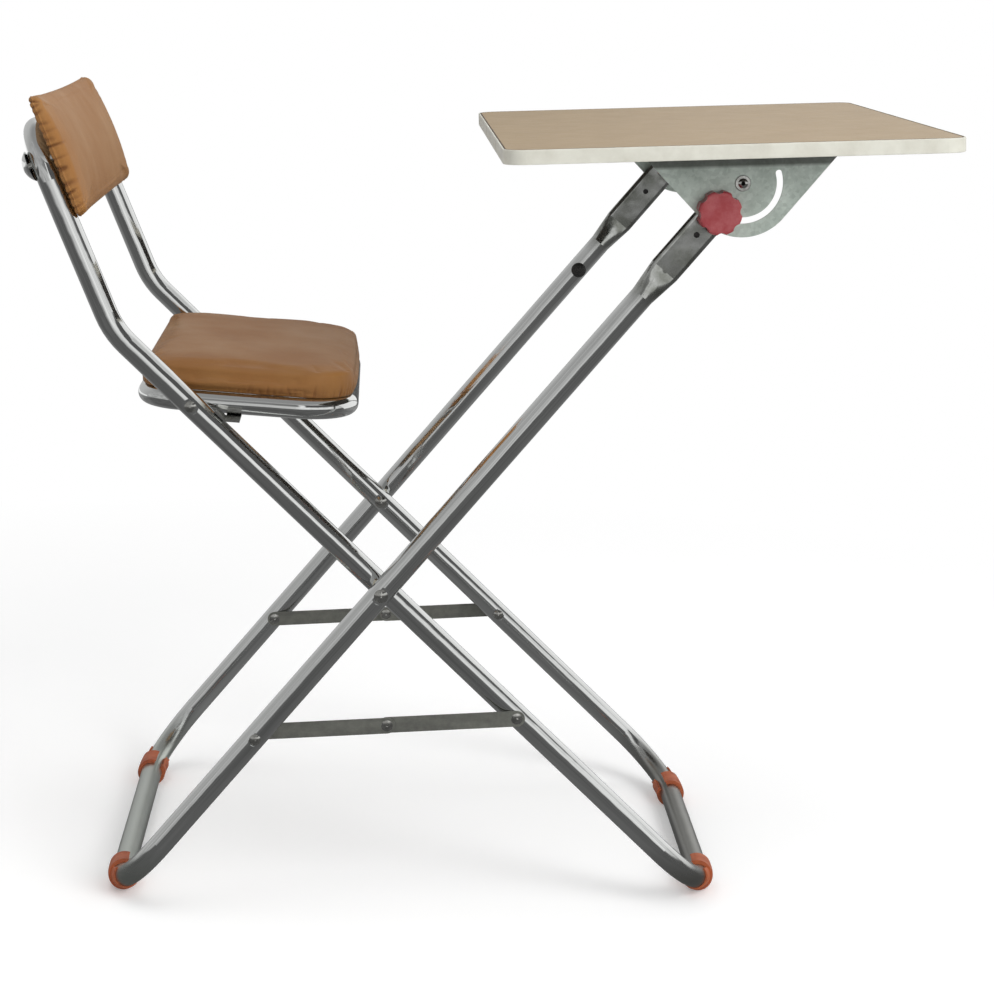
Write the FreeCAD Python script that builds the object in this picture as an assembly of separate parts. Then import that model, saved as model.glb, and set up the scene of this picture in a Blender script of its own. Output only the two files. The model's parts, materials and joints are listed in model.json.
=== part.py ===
import FreeCAD, Part
import math
import os

# Folding desk and chair of bent tube, in millimetres. Z is up, X runs from the backrest to the desktop,
# and the two sides mirror each other across Y = 0. Each frame, and the seat and desktop, is drawn in its
# own plane: u along it, y across it and w square to both. It is then turned and moved to its place.

Vector = FreeCAD.Vector
LINE_Y = Vector(0, 1, 0)
LINE_W = Vector(0, 0, 1)
STRAIGHT = 180.0

# Driving sizes of the two crossed frames
tube_radius = 10.0
tube_wall = 1.2
desk_half_width = 189.5
frame_gap = 6.0
chair_half_width = desk_half_width - 2 * tube_radius - frame_gap
desk_angle = 51.5
chair_angle = 137.2
bar_height = 12.0
pivot_height = 289.5
floor_bend = 60.0
desk_leg = (pivot_height - bar_height) / math.sin(math.radians(desk_angle))
chair_leg = (pivot_height - bar_height) / math.sin(math.radians(chair_angle))

# Desk frame above the crossing
desktop_pivot = 462.0
flat_start = 337.0
flat_length = 28.0
flat_width = 27.0
flat_thickness = 7.7
spare_hole = 405.0
spare_hole_radius = 2.5
bead_start = 366.0
bead_length = 34.0
bead_radius = 2.6
bead_depth = 0.8
buffer_place = 303.0
buffer_radius = 7.2
buffer_height = 6.5
buffer_stem_radius = 3.0
buffer_stem = 4.0

# Chair frame above the crossing
back_bend_place = 316.0
back_bend_turn = 23.8
back_bend_radius = 75.0
back_length = 178.0
top_bend = 42.0

# Pressed flats, rivets and fits
flat_depth = 0.8
running_fit = 0.05
seating_gap = 0.1
soft_gap = 0.3
overrun = 5.0
pivot_rivet_radius = 4.0
pivot_head_radius = 6.0
pivot_head_height = 2.6
pivot_spacer_radius = 8.0
small_rivet_radius = 2.5
small_head_radius = 5.0
small_head_height = 2.2

# Folding stays
stay_reach = 166.5
stay_width = 14.0
stay_thickness = 1.5
stay_lap_gap = 0.4
stay_head_height = 1.0
stay_washer_radius = 6.0
middle_end_gap = 0.1

# Seat
seat_place = 226.0
seat_tilt = -2.5
ring_radius = 9.0
ring_wall = 1.2
ring_gap = 1.5
ring_rear = 49.5
ring_front = 141.5
ring_rear_bend = 30.0
ring_front_bend = 44.0
seat_rivet_radius = 3.0
seat_washer_radius = 7.0
tab_length = 26.0
tab_width = 20.0
tab_thickness = 2.0
tab_spread = 85.0
board_inset = 7.0
board_thickness = 7.0
board_rear_corner = 30.0
board_front_corner = 43.0
seat_screw_radius = 1.9
seat_screw_head_radius = 3.8
seat_screw_head = 1.8
seat_screw_bite = 5.0
cushion_inset = 3.5
cushion_height = 24.5
cushion_rear_corner = 26.0
cushion_front_corner = 46.0
stop_thickness = 2.0
stop_rise = 18.0
stop_front = 42.0
stop_inner = 4.0
stop_reach = 7.0

# Backrest
pad_low = 99.0
pad_high = 205.0
pad_thickness = 16.5
pad_corner = 10.0
pad_hollow = 4.0
back_board_inset = 6.0
back_board_thickness = 5.0
back_bolt_place = 152.0
back_bolt_radius = 3.0
cap_radius = 13.0
cap_height = 6.5

# Desktop and its tilting brackets
desktop_tilt = 3.8
desktop_rear = 200.5
desktop_front = 176.9
desktop_half_width = 250.0
desktop_corner = 18.0
underside_height = 24.6
desktop_board_thickness = 11.0
laminate_thickness = 1.0
edge_thickness = 2.2
edge_round = 0.7
tongue_depth = 7.0
tongue_thickness = 1.8
bracket_half_length = 79.0
bracket_lip = 4.0
bracket_radius = 45.0
bracket_thickness = 2.0
flange_width = 20.0
flange_setback = 5.0
flange_screw_spread = 55.0
bracket_screw_radius = 1.9
bracket_screw_head_radius = 3.8
bracket_screw_head = 1.8
bracket_screw_bite = 8.0
tilt_rivet_radius = 3.2
tilt_rivet_bore = 1.6
tilt_head_radius = 4.2
tilt_head_height = 1.6
tilt_washer_radius = 6.2
washer_thickness = 1.0

# Clamping knobs
clamp_radius = 31.0
slot_half_width = 2.7
slot_front_angle = 14.3
slot_rear_angle = -158.0
stud_radius = 2.4
stud_head_radius = 5.5
stud_head_height = 2.4
clamp_washer_radius = 8.0
knob_radius = 18.5
knob_height = 15.0
knob_lobes = 8
lobe_cut_radius = 5.0
lobe_cut_depth = 2.2
knob_round = 2.5
knob_bore_depth = 9.0
nut_sides = 6
nut_across_flats = 8.0
nut_thickness = 4.0

# Feet
foot_thickness = 3.6
foot_straight = 7.0
foot_turn = 18.0
foot_lip_turn = 32.0
foot_lip_thickness = 1.6
foot_slit_radius = 4.5


def at(u, y, w):
    return Vector(u, y, w)


def placed(shape, origin, angle):
    moved = shape.copy()
    moved.Placement = FreeCAD.Placement(origin, FreeCAD.Rotation(LINE_Y, -angle))
    return moved


def both_sides(shape):
    return Part.makeCompound([shape, shape.mirror(Vector(), LINE_Y)])


def solid_of(shape):
    return shape.Solids[0] if len(shape.Solids) == 1 else Part.makeCompound(shape.Solids)


def rod(u, w, start, end, radius):
    low = min(start, end)
    return Part.makeCylinder(radius, abs(end - start), at(u, low, w), LINE_Y)


def washer(u, w, start, end, radius, hole):
    return rod(u, w, start, end, radius).cut(rod(u, w, start - overrun, end + overrun, hole))


def dome(u, w, face, outward, radius, height):
    sphere = (radius ** 2 + height ** 2) / (2 * height)
    half = math.asin(radius / sphere) / 2
    middle = at(sphere * math.sin(half), face + outward * (height - sphere + sphere * math.cos(half)), 0)
    foot = at(radius, face, 0)
    tip = at(0, face + outward * height, 0)
    centre = at(0, face, 0)
    edges = [Part.makeLine(centre, foot), Part.Arc(foot, middle, tip).toShape(), Part.makeLine(tip, centre)]
    return Part.Face(Part.Wire(edges)).revolve(Vector(), LINE_Y, 2 * STRAIGHT).translated(at(u, 0, w))


# Path of straight runs joined by tangent arcs through the listed corners
def rounded_path(corners, radii, closed):
    count = len(corners)
    edges = []
    last = None
    first = None
    for place, corner in enumerate(corners):
        if not closed and place in (0, count - 1):
            if last is not None:
                edges.append(Part.makeLine(last, corner))
            last = corner
            continue
        arriving = (corner - corners[place - 1]).normalize()
        leaving = (corners[(place + 1) % count] - corner).normalize()
        half_turn = arriving.getAngle(leaving) / 2
        radius = radii[place]
        trim = radius * math.tan(half_turn)
        inward = (leaving - arriving).normalize()
        start = corner - arriving * trim
        end = corner + leaving * trim
        middle = corner + inward * (radius / math.cos(half_turn) - radius)
        if last is not None:
            edges.append(Part.makeLine(last, start))
        edges.append(Part.Arc(start, middle, end).toShape())
        if first is None:
            first = start
        last = end
    if closed:
        edges.append(Part.makeLine(last, first))
    return Part.Wire(edges)


def swept(path, radius):
    start = path.Edges[0]
    direction = start.tangentAt(start.FirstParameter)
    circle = Part.Wire(Part.makeCircle(radius, path.OrderedVertexes[0].Point, direction))
    return solid_of(path.makePipeShell([circle], True, False))


def slab(outline, start, end):
    face = Part.Face(outline)
    return face.translated(at(0, start, 0)).extrude(at(0, end - start, 0))


def polygon(points):
    return Part.makePolygon(points + [points[0]])


# Rounded rectangle in the u-y plane at height w, from rear to front, with its own corner radius at each end
def plan_outline(rear, front, half_width, rear_corner, front_corner, w):
    corners = [at(rear, -half_width, w), at(front, -half_width, w),
               at(front, half_width, w), at(rear, half_width, w)]
    return rounded_path(corners, [rear_corner, front_corner, front_corner, rear_corner], True)


def plan_plate(rear, front, half_width, rear_corner, front_corner, low, high):
    outline = plan_outline(rear, front, half_width, rear_corner, front_corner, low)
    return Part.Face(outline).extrude(at(0, 0, high - low))


# Flat pressed into a tube's side: the wall steps in by flat_depth and keeps its thickness
def pressed(tube, envelope, u, w, side_face, outward, radius, wall):
    floor = side_face - outward * flat_depth
    backing = rod(u, w, floor - outward * wall, floor, radius + wall).common(envelope)
    tool = rod(u, w, floor, side_face + outward * overrun, radius)
    return tube.fuse(backing).cut(tool)


# Closed outline of a flattened tube's section at distance u: two long sides and two round ends
def flattened_section(u, width, thickness, side):
    straight = (width - thickness) / 2
    half = thickness / 2
    if straight > 0:
        corners = [at(u, side - half, -straight), at(u, side - half, straight),
                   at(u, side + half, straight), at(u, side + half, -straight)]
        tips = [None, at(u, side, width / 2), None, at(u, side, -width / 2)]
    else:
        slant = half * math.sqrt(2) / 2
        corners = [at(u, side - slant, -slant), at(u, side - slant, slant),
                   at(u, side + slant, slant), at(u, side + slant, -slant)]
        tips = [at(u, side - half, 0), at(u, side, half), at(u, side + half, 0), at(u, side, -half)]
    edges = []
    for place, tip in enumerate(tips):
        start = corners[place]
        end = corners[(place + 1) % len(corners)]
        edges.append(Part.makeLine(start, end) if tip is None else Part.Arc(start, tip, end).toShape())
    return Part.Wire(edges)


def flattened_end(side, shrink):
    round_size = 2 * (tube_radius - shrink)
    width = flat_width - 2 * shrink
    thickness = flat_thickness - 2 * shrink
    full = flat_start + flat_length
    neck = Part.makeLoft([flattened_section(flat_start, round_size, round_size, side),
                          flattened_section(full, width, thickness, side)], True)
    reach = desktop_pivot + flat_width / 2 + shrink - full
    blade = Part.Face(flattened_section(full, width, thickness, side)).extrude(at(reach, 0, 0))
    return neck, blade


def desk_frame_tube():
    corners = [at(flat_start, -desk_half_width, 0), at(-desk_leg, -desk_half_width, 0),
               at(-desk_leg, desk_half_width, 0), at(flat_start, desk_half_width, 0)]
    radii = [0, floor_bend, floor_bend, 0]
    path = rounded_path(corners, radii, False)
    envelope = swept(path, tube_radius)
    tube = envelope.cut(swept(path, tube_radius - tube_wall))
    for outward in (-1, 1):
        side = outward * desk_half_width
        outer = side + outward * tube_radius
        inner = side - outward * tube_radius
        for place, size in ((0, pivot_spacer_radius), (-stay_reach, stay_washer_radius)):
            tube = pressed(tube, envelope, place, 0, outer, outward, size, tube_wall)
            tube = pressed(tube, envelope, place, 0, inner, -outward, size, tube_wall)
        tube = pressed(tube, envelope, buffer_place, 0, inner, -outward, buffer_radius, tube_wall)
        tube = tube.cut(rod(0, 0, outer + outward * overrun, inner - outward * overrun,
                            pivot_rivet_radius + running_fit))
        tube = tube.cut(rod(-stay_reach, 0, outer + outward * overrun, inner - outward * overrun,
                            small_rivet_radius + running_fit))
        tube = tube.cut(rod(buffer_place, 0, side, inner - outward * overrun,
                            buffer_stem_radius + running_fit))
        tube = tube.fuse(flattened_upper_end(side, outward))
    return solid_of(tube.removeSplitter())


def flattened_upper_end(side, outward):
    neck, blade = flattened_end(side, 0)
    inner_neck, inner_blade = flattened_end(side, tube_wall)
    depth = flat_width
    tip = rod(desktop_pivot, 0, side - depth, side + depth, flat_width / 2)
    shaft = Part.makeBox(desktop_pivot - flat_start, 2 * depth, flat_width,
                         at(flat_start, side - depth, -flat_width / 2))
    rounded_blade = blade.common(shaft.fuse(tip))
    upper = neck.fuse(rounded_blade).cut(inner_neck).cut(inner_blade)
    face = side + outward * flat_thickness / 2
    upper = pressed_bead(upper, face, outward)
    holes = ((desktop_pivot, tilt_rivet_radius + running_fit),
             (desktop_pivot - clamp_radius, stud_radius + running_fit),
             (spare_hole, spare_hole_radius))
    for place, size in holes:
        upper = upper.cut(rod(place, 0, side - depth, side + depth, size))
    return upper


# Long groove pressed into the outer face just below the clamp
def pressed_bead(upper, face, outward):
    floor = face - outward * bead_depth
    tool = groove(floor, face + outward * overrun, bead_radius)
    backing = groove(floor - outward * tube_wall, floor, bead_radius + tube_wall)
    return upper.fuse(backing).cut(tool)


def groove(start, end, radius):
    low = rod(bead_start, 0, start, end, radius)
    high = rod(bead_start + bead_length - 2 * bead_radius, 0, start, end, radius)
    run = Part.makeBox(bead_length - 2 * bead_radius, abs(end - start), 2 * radius,
                       at(bead_start, min(start, end), -radius))
    return low.fuse(high).fuse(run)


def back_point(along, forward):
    turn = math.radians(back_bend_turn)
    return (back_bend_place + along * math.cos(turn) - forward * math.sin(turn),
            -along * math.sin(turn) - forward * math.cos(turn))


def chair_frame_tube():
    top_u, top_w = back_point(back_length, 0)
    near = -chair_half_width
    far = chair_half_width
    corners = [at(-chair_leg, near, 0), at(back_bend_place, near, 0), at(top_u, near, top_w),
               at(top_u, far, top_w), at(back_bend_place, far, 0), at(-chair_leg, far, 0)]
    radii = [floor_bend, back_bend_radius, top_bend, top_bend, back_bend_radius, floor_bend]
    path = rounded_path(corners, radii, True)
    envelope = swept(path, tube_radius)
    tube = envelope.cut(swept(path, tube_radius - tube_wall))
    holes = ((0, pivot_spacer_radius, pivot_rivet_radius),
             (-stay_reach, stay_washer_radius, small_rivet_radius),
             (seat_place, seat_washer_radius, seat_rivet_radius))
    for outward in (-1, 1):
        side = outward * chair_half_width
        outer = side + outward * tube_radius
        inner = side - outward * tube_radius
        for place, size, hole in holes:
            tube = pressed(tube, envelope, place, 0, outer, outward, size, tube_wall)
            tube = pressed(tube, envelope, place, 0, inner, -outward, size, tube_wall)
            tube = tube.cut(rod(place, 0, outer + outward * overrun, inner - outward * overrun,
                                hole + running_fit))
        tube = tube.cut(back_rod(side, -tube_radius - overrun, tube_radius + overrun,
                                 back_bolt_radius + running_fit))
    return solid_of(tube.removeSplitter())


# Cylinder square to the backrest, at the height of its bolts; start and end count forward from
# the tube's centre
def back_rod(side, start, end, radius):
    u, w = back_point(back_bolt_place, start)
    turn = math.radians(back_bend_turn)
    return Part.makeCylinder(radius, end - start, at(u, side, w), at(-math.sin(turn), 0, -math.cos(turn)))


def fold_pivot_rivets():
    outer = -desk_half_width - tube_radius + flat_depth
    inner = -chair_half_width + tube_radius - flat_depth + seating_gap
    shank = rod(0, 0, outer, inner, pivot_rivet_radius)
    heads = dome(0, 0, outer, -1, pivot_head_radius, pivot_head_height)
    heads = heads.fuse(dome(0, 0, inner, 1, pivot_head_radius, pivot_head_height))
    return both_sides(solid_of(shank.fuse(heads)))


def fold_pivot_spacers():
    start = -desk_half_width + tube_radius - flat_depth
    end = -chair_half_width - tube_radius + flat_depth - seating_gap
    return both_sides(washer(0, 0, start, end, pivot_spacer_radius - running_fit,
                             pivot_rivet_radius + running_fit))


# Where the two straps of a stay lie across the gap between the frames
lap_middle = -desk_half_width + tube_radius + frame_gap / 2
desk_strap_inner = lap_middle - stay_lap_gap / 2
desk_strap_outer = desk_strap_inner - stay_thickness
chair_strap_outer = lap_middle + stay_lap_gap / 2
chair_strap_inner = chair_strap_outer + stay_thickness
stay_length = stay_reach * math.sin(math.radians(chair_angle - desk_angle) / 2)


# Strap with round ends and a rivet hole at each, from its frame's rivet at u = 0 to the middle rivet
def strap(start, end, direction):
    far_end = direction * stay_length
    half = stay_width / 2
    low_u = min(0, far_end)
    bar = Part.makeBox(stay_length, end - start, stay_width, at(low_u, start, -half))
    blank = bar.fuse(rod(0, 0, start, end, half)).fuse(rod(far_end, 0, start, end, half))
    hole = small_rivet_radius + running_fit
    for place in (0, far_end):
        blank = blank.cut(rod(place, 0, start - overrun, end + overrun, hole))
    return both_sides(solid_of(blank.removeSplitter()))


# Each strap keeps its half of the middle rivet: a low head and a plug in the strap's own hole
def middle_rivets(outer, inner, direction, outward):
    place = direction * stay_length
    face = outer if outward < 0 else inner
    back = (inner - middle_end_gap) if outward < 0 else (outer + middle_end_gap)
    head = dome(place, 0, face, outward, small_head_radius, stay_head_height)
    return both_sides(solid_of(head.fuse(rod(place, 0, face, back, small_rivet_radius))))


def desk_stay_rivets():
    outer = -desk_half_width - tube_radius + flat_depth
    inner = desk_strap_inner + seating_gap
    shape = rod(-stay_reach, 0, outer, inner, small_rivet_radius)
    shape = shape.fuse(dome(-stay_reach, 0, outer, -1, small_head_radius, small_head_height))
    shape = shape.fuse(dome(-stay_reach, 0, inner, 1, small_head_radius, stay_head_height))
    return both_sides(solid_of(shape))


def chair_stay_rivets():
    outer = chair_strap_outer - seating_gap
    inner = -chair_half_width + tube_radius - flat_depth
    shape = rod(-stay_reach, 0, outer, inner, small_rivet_radius)
    shape = shape.fuse(dome(-stay_reach, 0, outer, -1, small_head_radius, stay_head_height))
    shape = shape.fuse(dome(-stay_reach, 0, inner, 1, small_head_radius, small_head_height))
    return both_sides(solid_of(shape))


def desk_stay_washers():
    start = desk_strap_outer - seating_gap
    end = -desk_half_width + tube_radius - flat_depth
    return both_sides(washer(-stay_reach, 0, end, start, stay_washer_radius - running_fit,
                             small_rivet_radius + running_fit))


def chair_stay_washers():
    start = chair_strap_inner + seating_gap
    end = -chair_half_width - tube_radius + flat_depth
    return both_sides(washer(-stay_reach, 0, start, end, stay_washer_radius - running_fit,
                             small_rivet_radius + running_fit))


def fold_buffers():
    seat_face = -desk_half_width + tube_radius - flat_depth
    shape = rod(buffer_place, 0, seat_face, seat_face + buffer_height / 2, buffer_radius - running_fit)
    shape = shape.fuse(dome(buffer_place, 0, seat_face + buffer_height / 2, 1, buffer_radius - running_fit,
                            buffer_height / 2))
    shape = shape.fuse(rod(buffer_place, 0, seat_face - buffer_stem, seat_face, buffer_stem_radius))
    return both_sides(solid_of(shape))


# Moulded sleeve on a floor bend: a ring over the bar and the start of the bend, slit along its inner
# side, and a short lip along its outer side
def foot_sleeves(leg, half_width):
    centre = at(-leg + floor_bend, -half_width + floor_bend, 0)

    def bend(start, end, radius):
        angles = [math.radians(turn) for turn in (start, (start + end) / 2, end)]
        points = [centre - at(math.cos(angle), math.sin(angle), 0) * radius for angle in angles]
        return Part.Arc(*points).toShape()

    def sleeve_path(start, end, radius):
        arc = bend(0, end, radius)
        bar_end = centre - at(radius, 0, 0)
        return Part.Wire([Part.makeLine(bar_end + at(0, start, 0), bar_end), arc])

    path = sleeve_path(foot_straight, foot_turn, floor_bend)
    bore = tube_radius + running_fit
    slit_bend = floor_bend - bore - foot_thickness / 2
    slit = swept(sleeve_path(foot_straight + overrun, 2 * foot_turn, slit_bend), foot_slit_radius)
    ring = swept(path, tube_radius + foot_thickness).cut(swept(path, bore)).cut(slit)
    lip_path = Part.Wire(bend(foot_turn, foot_lip_turn, floor_bend))
    lip = swept(lip_path, tube_radius + foot_lip_thickness).cut(swept(lip_path, bore))
    depth = 2 * tube_radius + foot_thickness
    lip = lip.cut(Part.makeCylinder(floor_bend, 2 * depth, centre - at(0, 0, depth), LINE_W))
    return solid_of(ring.fuse(lip).removeSplitter())


def floor_flat(shape):
    box = shape.BoundBox
    depth = max(-box.ZMin, 0) + overrun
    slice_below = Part.makeBox(box.XLength + 2 * overrun, box.YLength + 2 * overrun, depth,
                               at(box.XMin - overrun, box.YMin - overrun, -depth))
    return solid_of(shape.cut(slice_below))


# Seat, drawn from its pivot rivets: u forward along the seat and w up
ring_half_width = chair_half_width - tube_radius - ring_gap - ring_radius
board_half_width = ring_half_width - board_inset / 2
cushion_half_width = ring_half_width + ring_radius / 2
tab_top = ring_radius + running_fit


def seat_ring():
    rear = -ring_rear + ring_radius
    front = ring_front - ring_radius
    path = plan_outline(rear, front, ring_half_width, ring_rear_bend, ring_front_bend, 0)
    envelope = swept(path, ring_radius)
    core = swept(path, ring_radius - ring_wall)
    ring = envelope.cut(core)
    for outward in (-1, 1):
        side = outward * ring_half_width
        outer = side + outward * ring_radius
        inner = side - outward * ring_radius
        ring = pressed(ring, envelope, 0, 0, outer, outward, seat_washer_radius, ring_wall)
        ring = pressed(ring, envelope, 0, 0, inner, -outward, seat_washer_radius, ring_wall)
        ring = ring.cut(rod(0, 0, outer + outward * overrun, inner - outward * overrun,
                            seat_rivet_radius + running_fit))
    return solid_of(ring.removeSplitter())


def seat_tabs():
    rear = -ring_rear + ring_radius
    front = ring_front - ring_radius
    outline = plan_outline(rear, front, ring_half_width, ring_rear_bend, ring_front_bend, 0)
    envelope = swept(outline, ring_radius)
    low = tab_top - tab_thickness
    tabs = []
    for side in (-tab_spread, tab_spread):
        for start, end in ((rear, rear + tab_length), (front - tab_length, front)):
            tab = Part.makeBox(end - start, tab_width, tab_thickness, at(start, side - tab_width / 2, low))
            tab = tab.cut(envelope)
            for place in screw_places():
                tab = tab.cut(Part.makeCylinder(seat_screw_radius + running_fit, tab_thickness + 2 * overrun,
                                                place - at(0, 0, tab_thickness + overrun), LINE_W))
            tabs.append(solid_of(tab))
    return Part.makeCompound(tabs)


def screw_places():
    reach = tab_length - tab_width / 2
    rear = -ring_rear + ring_radius + reach
    front = ring_front - ring_radius - reach
    return [at(u, side, tab_top) for u in (rear, front) for side in (-tab_spread, tab_spread)]


def seat_pivot_rivets():
    outer = -chair_half_width - tube_radius + flat_depth
    inner = -ring_half_width + ring_radius - flat_depth + seating_gap
    shape = rod(0, 0, outer, inner, seat_rivet_radius)
    shape = shape.fuse(dome(0, 0, outer, -1, small_head_radius, small_head_height))
    shape = shape.fuse(dome(0, 0, inner, 1, small_head_radius, small_head_height))
    return both_sides(solid_of(shape))


def seat_pivot_washers():
    start = -chair_half_width + tube_radius - flat_depth
    end = -ring_half_width - ring_radius + flat_depth - seating_gap
    return both_sides(washer(0, 0, start, end, seat_washer_radius - running_fit,
                             seat_rivet_radius + running_fit))


def seat_board():
    plate = plan_plate(-ring_rear + board_inset, ring_front - board_inset, board_half_width,
                       board_rear_corner, board_front_corner, tab_top, tab_top + board_thickness)
    for place in screw_places():
        plate = plate.cut(Part.makeCylinder(seat_screw_radius + running_fit, seat_screw_bite + running_fit,
                                            place, LINE_W))
    return solid_of(plate)


def seat_screws():
    screws = []
    for place in screw_places():
        under = place - at(0, 0, tab_thickness)
        shank = Part.makeCylinder(seat_screw_radius, tab_thickness + seat_screw_bite, under, LINE_W)
        head = Part.makeCone(seat_screw_head_radius / 2, seat_screw_head_radius, seat_screw_head,
                             under - at(0, 0, seat_screw_head), LINE_W)
        screws.append(solid_of(shank.fuse(head)))
    return Part.makeCompound(screws)


# Levels of a cushion as shares of its height, and how far each is drawn in as shares of its crown's reach
cushion_level_shares = (0.0, 0.13, 0.4, 0.68, 0.85, 0.955, 1.0)
cushion_draw_shares = (0.1, 0.015, 0.0, 0.035, 0.15, 0.42, 1.0)
cushion_crown_reach = 22.0


def seat_cushion():
    low = tab_top + soft_gap
    sections = []
    for level, draw in zip(cushion_level_shares, cushion_draw_shares):
        inset = cushion_inset + draw * cushion_crown_reach
        sections.append(plan_outline(-ring_rear + inset, ring_front - inset, cushion_half_width - inset,
                                     cushion_rear_corner, cushion_front_corner,
                                     low + level * cushion_height))
    cushion = Part.makeLoft(sections, True)
    pocket = plan_plate(-ring_rear + board_inset - soft_gap, ring_front - board_inset + soft_gap,
                        board_half_width + soft_gap, board_rear_corner, board_front_corner,
                        low - overrun, tab_top + board_thickness + soft_gap)
    return solid_of(cushion.cut(pocket))


# Bent plate under each side of the ring, whose lip comes to rest on the chair tube
def seat_stops():
    slant = math.radians(chair_angle - seat_tilt)
    along = at(math.cos(slant), 0, math.sin(slant))
    upward = at(math.sin(slant), 0, -math.cos(slant))
    low_line = tube_radius + soft_gap
    high_line = low_line + stop_thickness
    under = -ring_radius
    base = under - stop_thickness

    def meeting(offset, level):
        reach = (level - offset * upward.z) / along.z
        return along * reach + upward * offset

    start = -stop_rise
    lip = polygon([along * start + upward * low_line, meeting(low_line, base), meeting(high_line, under),
                   along * start + upward * high_line])
    tab = polygon([meeting(low_line, base), at(stop_front, 0, base), at(stop_front, 0, under),
                   meeting(high_line, under)])
    outer = -chair_half_width - stop_reach
    lip_inner = -ring_half_width - ring_radius - soft_gap
    tab_inner = -ring_half_width + stop_inner
    shape = slab(lip, outer, lip_inner).fuse(slab(tab, outer, tab_inner))
    return both_sides(solid_of(shape.removeSplitter()))


# Backrest, drawn in the chair frame's plane from the bend: along the back, and forward of the tube's centre
def back_outline(low, high, half_width, corner, forward):
    points = []
    for along, side in ((low, -half_width), (high, -half_width), (high, half_width), (low, half_width)):
        u, w = back_point(along, forward)
        points.append(at(u, side, w))
    return rounded_path(points, [corner] * len(points), True)


def back_plate(low, high, half_width, corner, start, end):
    turn = math.radians(back_bend_turn)
    outline = back_outline(low, high, half_width, corner, start)
    return Part.Face(outline).extrude(at(-math.sin(turn), 0, -math.cos(turn)) * (end - start))


pad_half_width = chair_half_width + tube_radius


def backrest_board():
    front = tube_radius + back_board_thickness
    plate = back_plate(pad_low + back_board_inset, pad_high - back_board_inset,
                       pad_half_width - back_board_inset, pad_corner - back_board_inset / 2,
                       tube_radius + running_fit, front)
    for outward in (-1, 1):
        plate = plate.cut(back_rod(outward * chair_half_width, 0, front + overrun,
                                   back_bolt_radius + running_fit))
    return solid_of(plate)


pad_level_shares = (0.0, 0.2, 0.45, 0.7, 0.86, 0.96, 1.0)
pad_draw_shares = (0.1, 0.02, 0.0, 0.05, 0.2, 0.5, 1.0)
pad_crown_reach = 34.0
pad_end_reach = 10.0


def backrest_pad():
    low = tube_radius + soft_gap
    sections = []
    for level, draw in zip(pad_level_shares, pad_draw_shares):
        inset = draw * pad_crown_reach
        half_width = pad_half_width - draw * pad_end_reach
        sections.append(back_outline(pad_low + inset, pad_high - inset, half_width, pad_corner,
                                     low + level * pad_thickness))
    pad = Part.makeLoft(sections, True)
    pocket = back_plate(pad_low + back_board_inset - soft_gap, pad_high - back_board_inset + soft_gap,
                        pad_half_width - back_board_inset + soft_gap, pad_corner - back_board_inset / 2,
                        low - overrun, tube_radius + back_board_thickness + soft_gap)
    return solid_of(pad.cut(pocket).cut(front_hollow(low + pad_thickness)))


# Shallow hollow that curves the pad's front round the sitter's back
def front_hollow(front):
    reach = pad_half_width
    radius = (reach ** 2 + pad_hollow ** 2) / (2 * pad_hollow)
    u, w = back_point(0, front - pad_hollow + radius)
    turn = math.radians(back_bend_turn)
    direction = at(math.cos(turn), 0, -math.sin(turn))
    return Part.makeCylinder(radius, pad_high + overrun, at(u, 0, w), direction)


def backrest_bolts():
    end = tube_radius + back_board_thickness
    bolts = []
    for outward in (-1, 1):
        side = outward * chair_half_width
        bolts.append(back_rod(side, -tube_radius - seating_gap, end, back_bolt_radius))
    return Part.makeCompound(bolts)


# Domed cap behind the tube, on the bolt
def backrest_caps():
    face = -tube_radius - seating_gap
    u, w = back_point(back_bolt_place, face)
    cap = dome(0, 0, 0, 1, cap_radius, cap_height)
    turn = math.radians(back_bend_turn)
    turned = FreeCAD.Rotation(LINE_Y, at(math.sin(turn), 0, math.cos(turn)))
    caps = []
    for outward in (-1, 1):
        shape = cap.copy()
        shape.Placement = FreeCAD.Placement(at(u, outward * chair_half_width, w), turned)
        caps.append(shape)
    return Part.makeCompound(caps)


# Desktop, drawn from its tilting pivot: u towards the far edge and w up
laminate_level = underside_height + desktop_board_thickness
top_level = laminate_level + laminate_thickness


def desktop_plate(inset, low, high):
    corner = desktop_corner - inset if desktop_corner > inset else desktop_corner
    return plan_plate(-desktop_rear + inset, desktop_front - inset, desktop_half_width - inset,
                      corner, corner, low, high)


tongue_low = underside_height + (desktop_board_thickness - tongue_thickness) / 2


def desktop_board():
    board = desktop_plate(edge_thickness + running_fit, underside_height, laminate_level)
    slot = desktop_plate(edge_thickness - overrun, tongue_low - running_fit,
                         tongue_low + tongue_thickness + running_fit)
    slot = slot.cut(desktop_plate(edge_thickness + tongue_depth + running_fit, tongue_low - overrun,
                                  tongue_low + overrun))
    board = board.cut(slot)
    for outward in (-1, 1):
        for place in flange_screw_places(outward):
            board = board.cut(Part.makeCylinder(bracket_screw_radius + running_fit, bracket_screw_bite,
                                                place, LINE_W))
    return solid_of(board)


def desktop_laminate():
    return solid_of(desktop_plate(edge_thickness + running_fit, laminate_level, top_level))


# Edge band with a tongue that sits in the board's groove
def desktop_edge_band():
    outer = desktop_plate(0, underside_height, top_level)
    rim = [edge for edge in outer.Edges if edge.BoundBox.ZLength < running_fit]
    band = outer.makeFillet(edge_round, rim)
    band = band.cut(desktop_plate(edge_thickness, underside_height - overrun, top_level + overrun))
    tongue = desktop_plate(edge_thickness - running_fit, tongue_low, tongue_low + tongue_thickness)
    tongue = tongue.cut(desktop_plate(edge_thickness + tongue_depth, tongue_low - overrun,
                                      tongue_low + overrun))
    return solid_of(band.fuse(tongue).removeSplitter())


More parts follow.
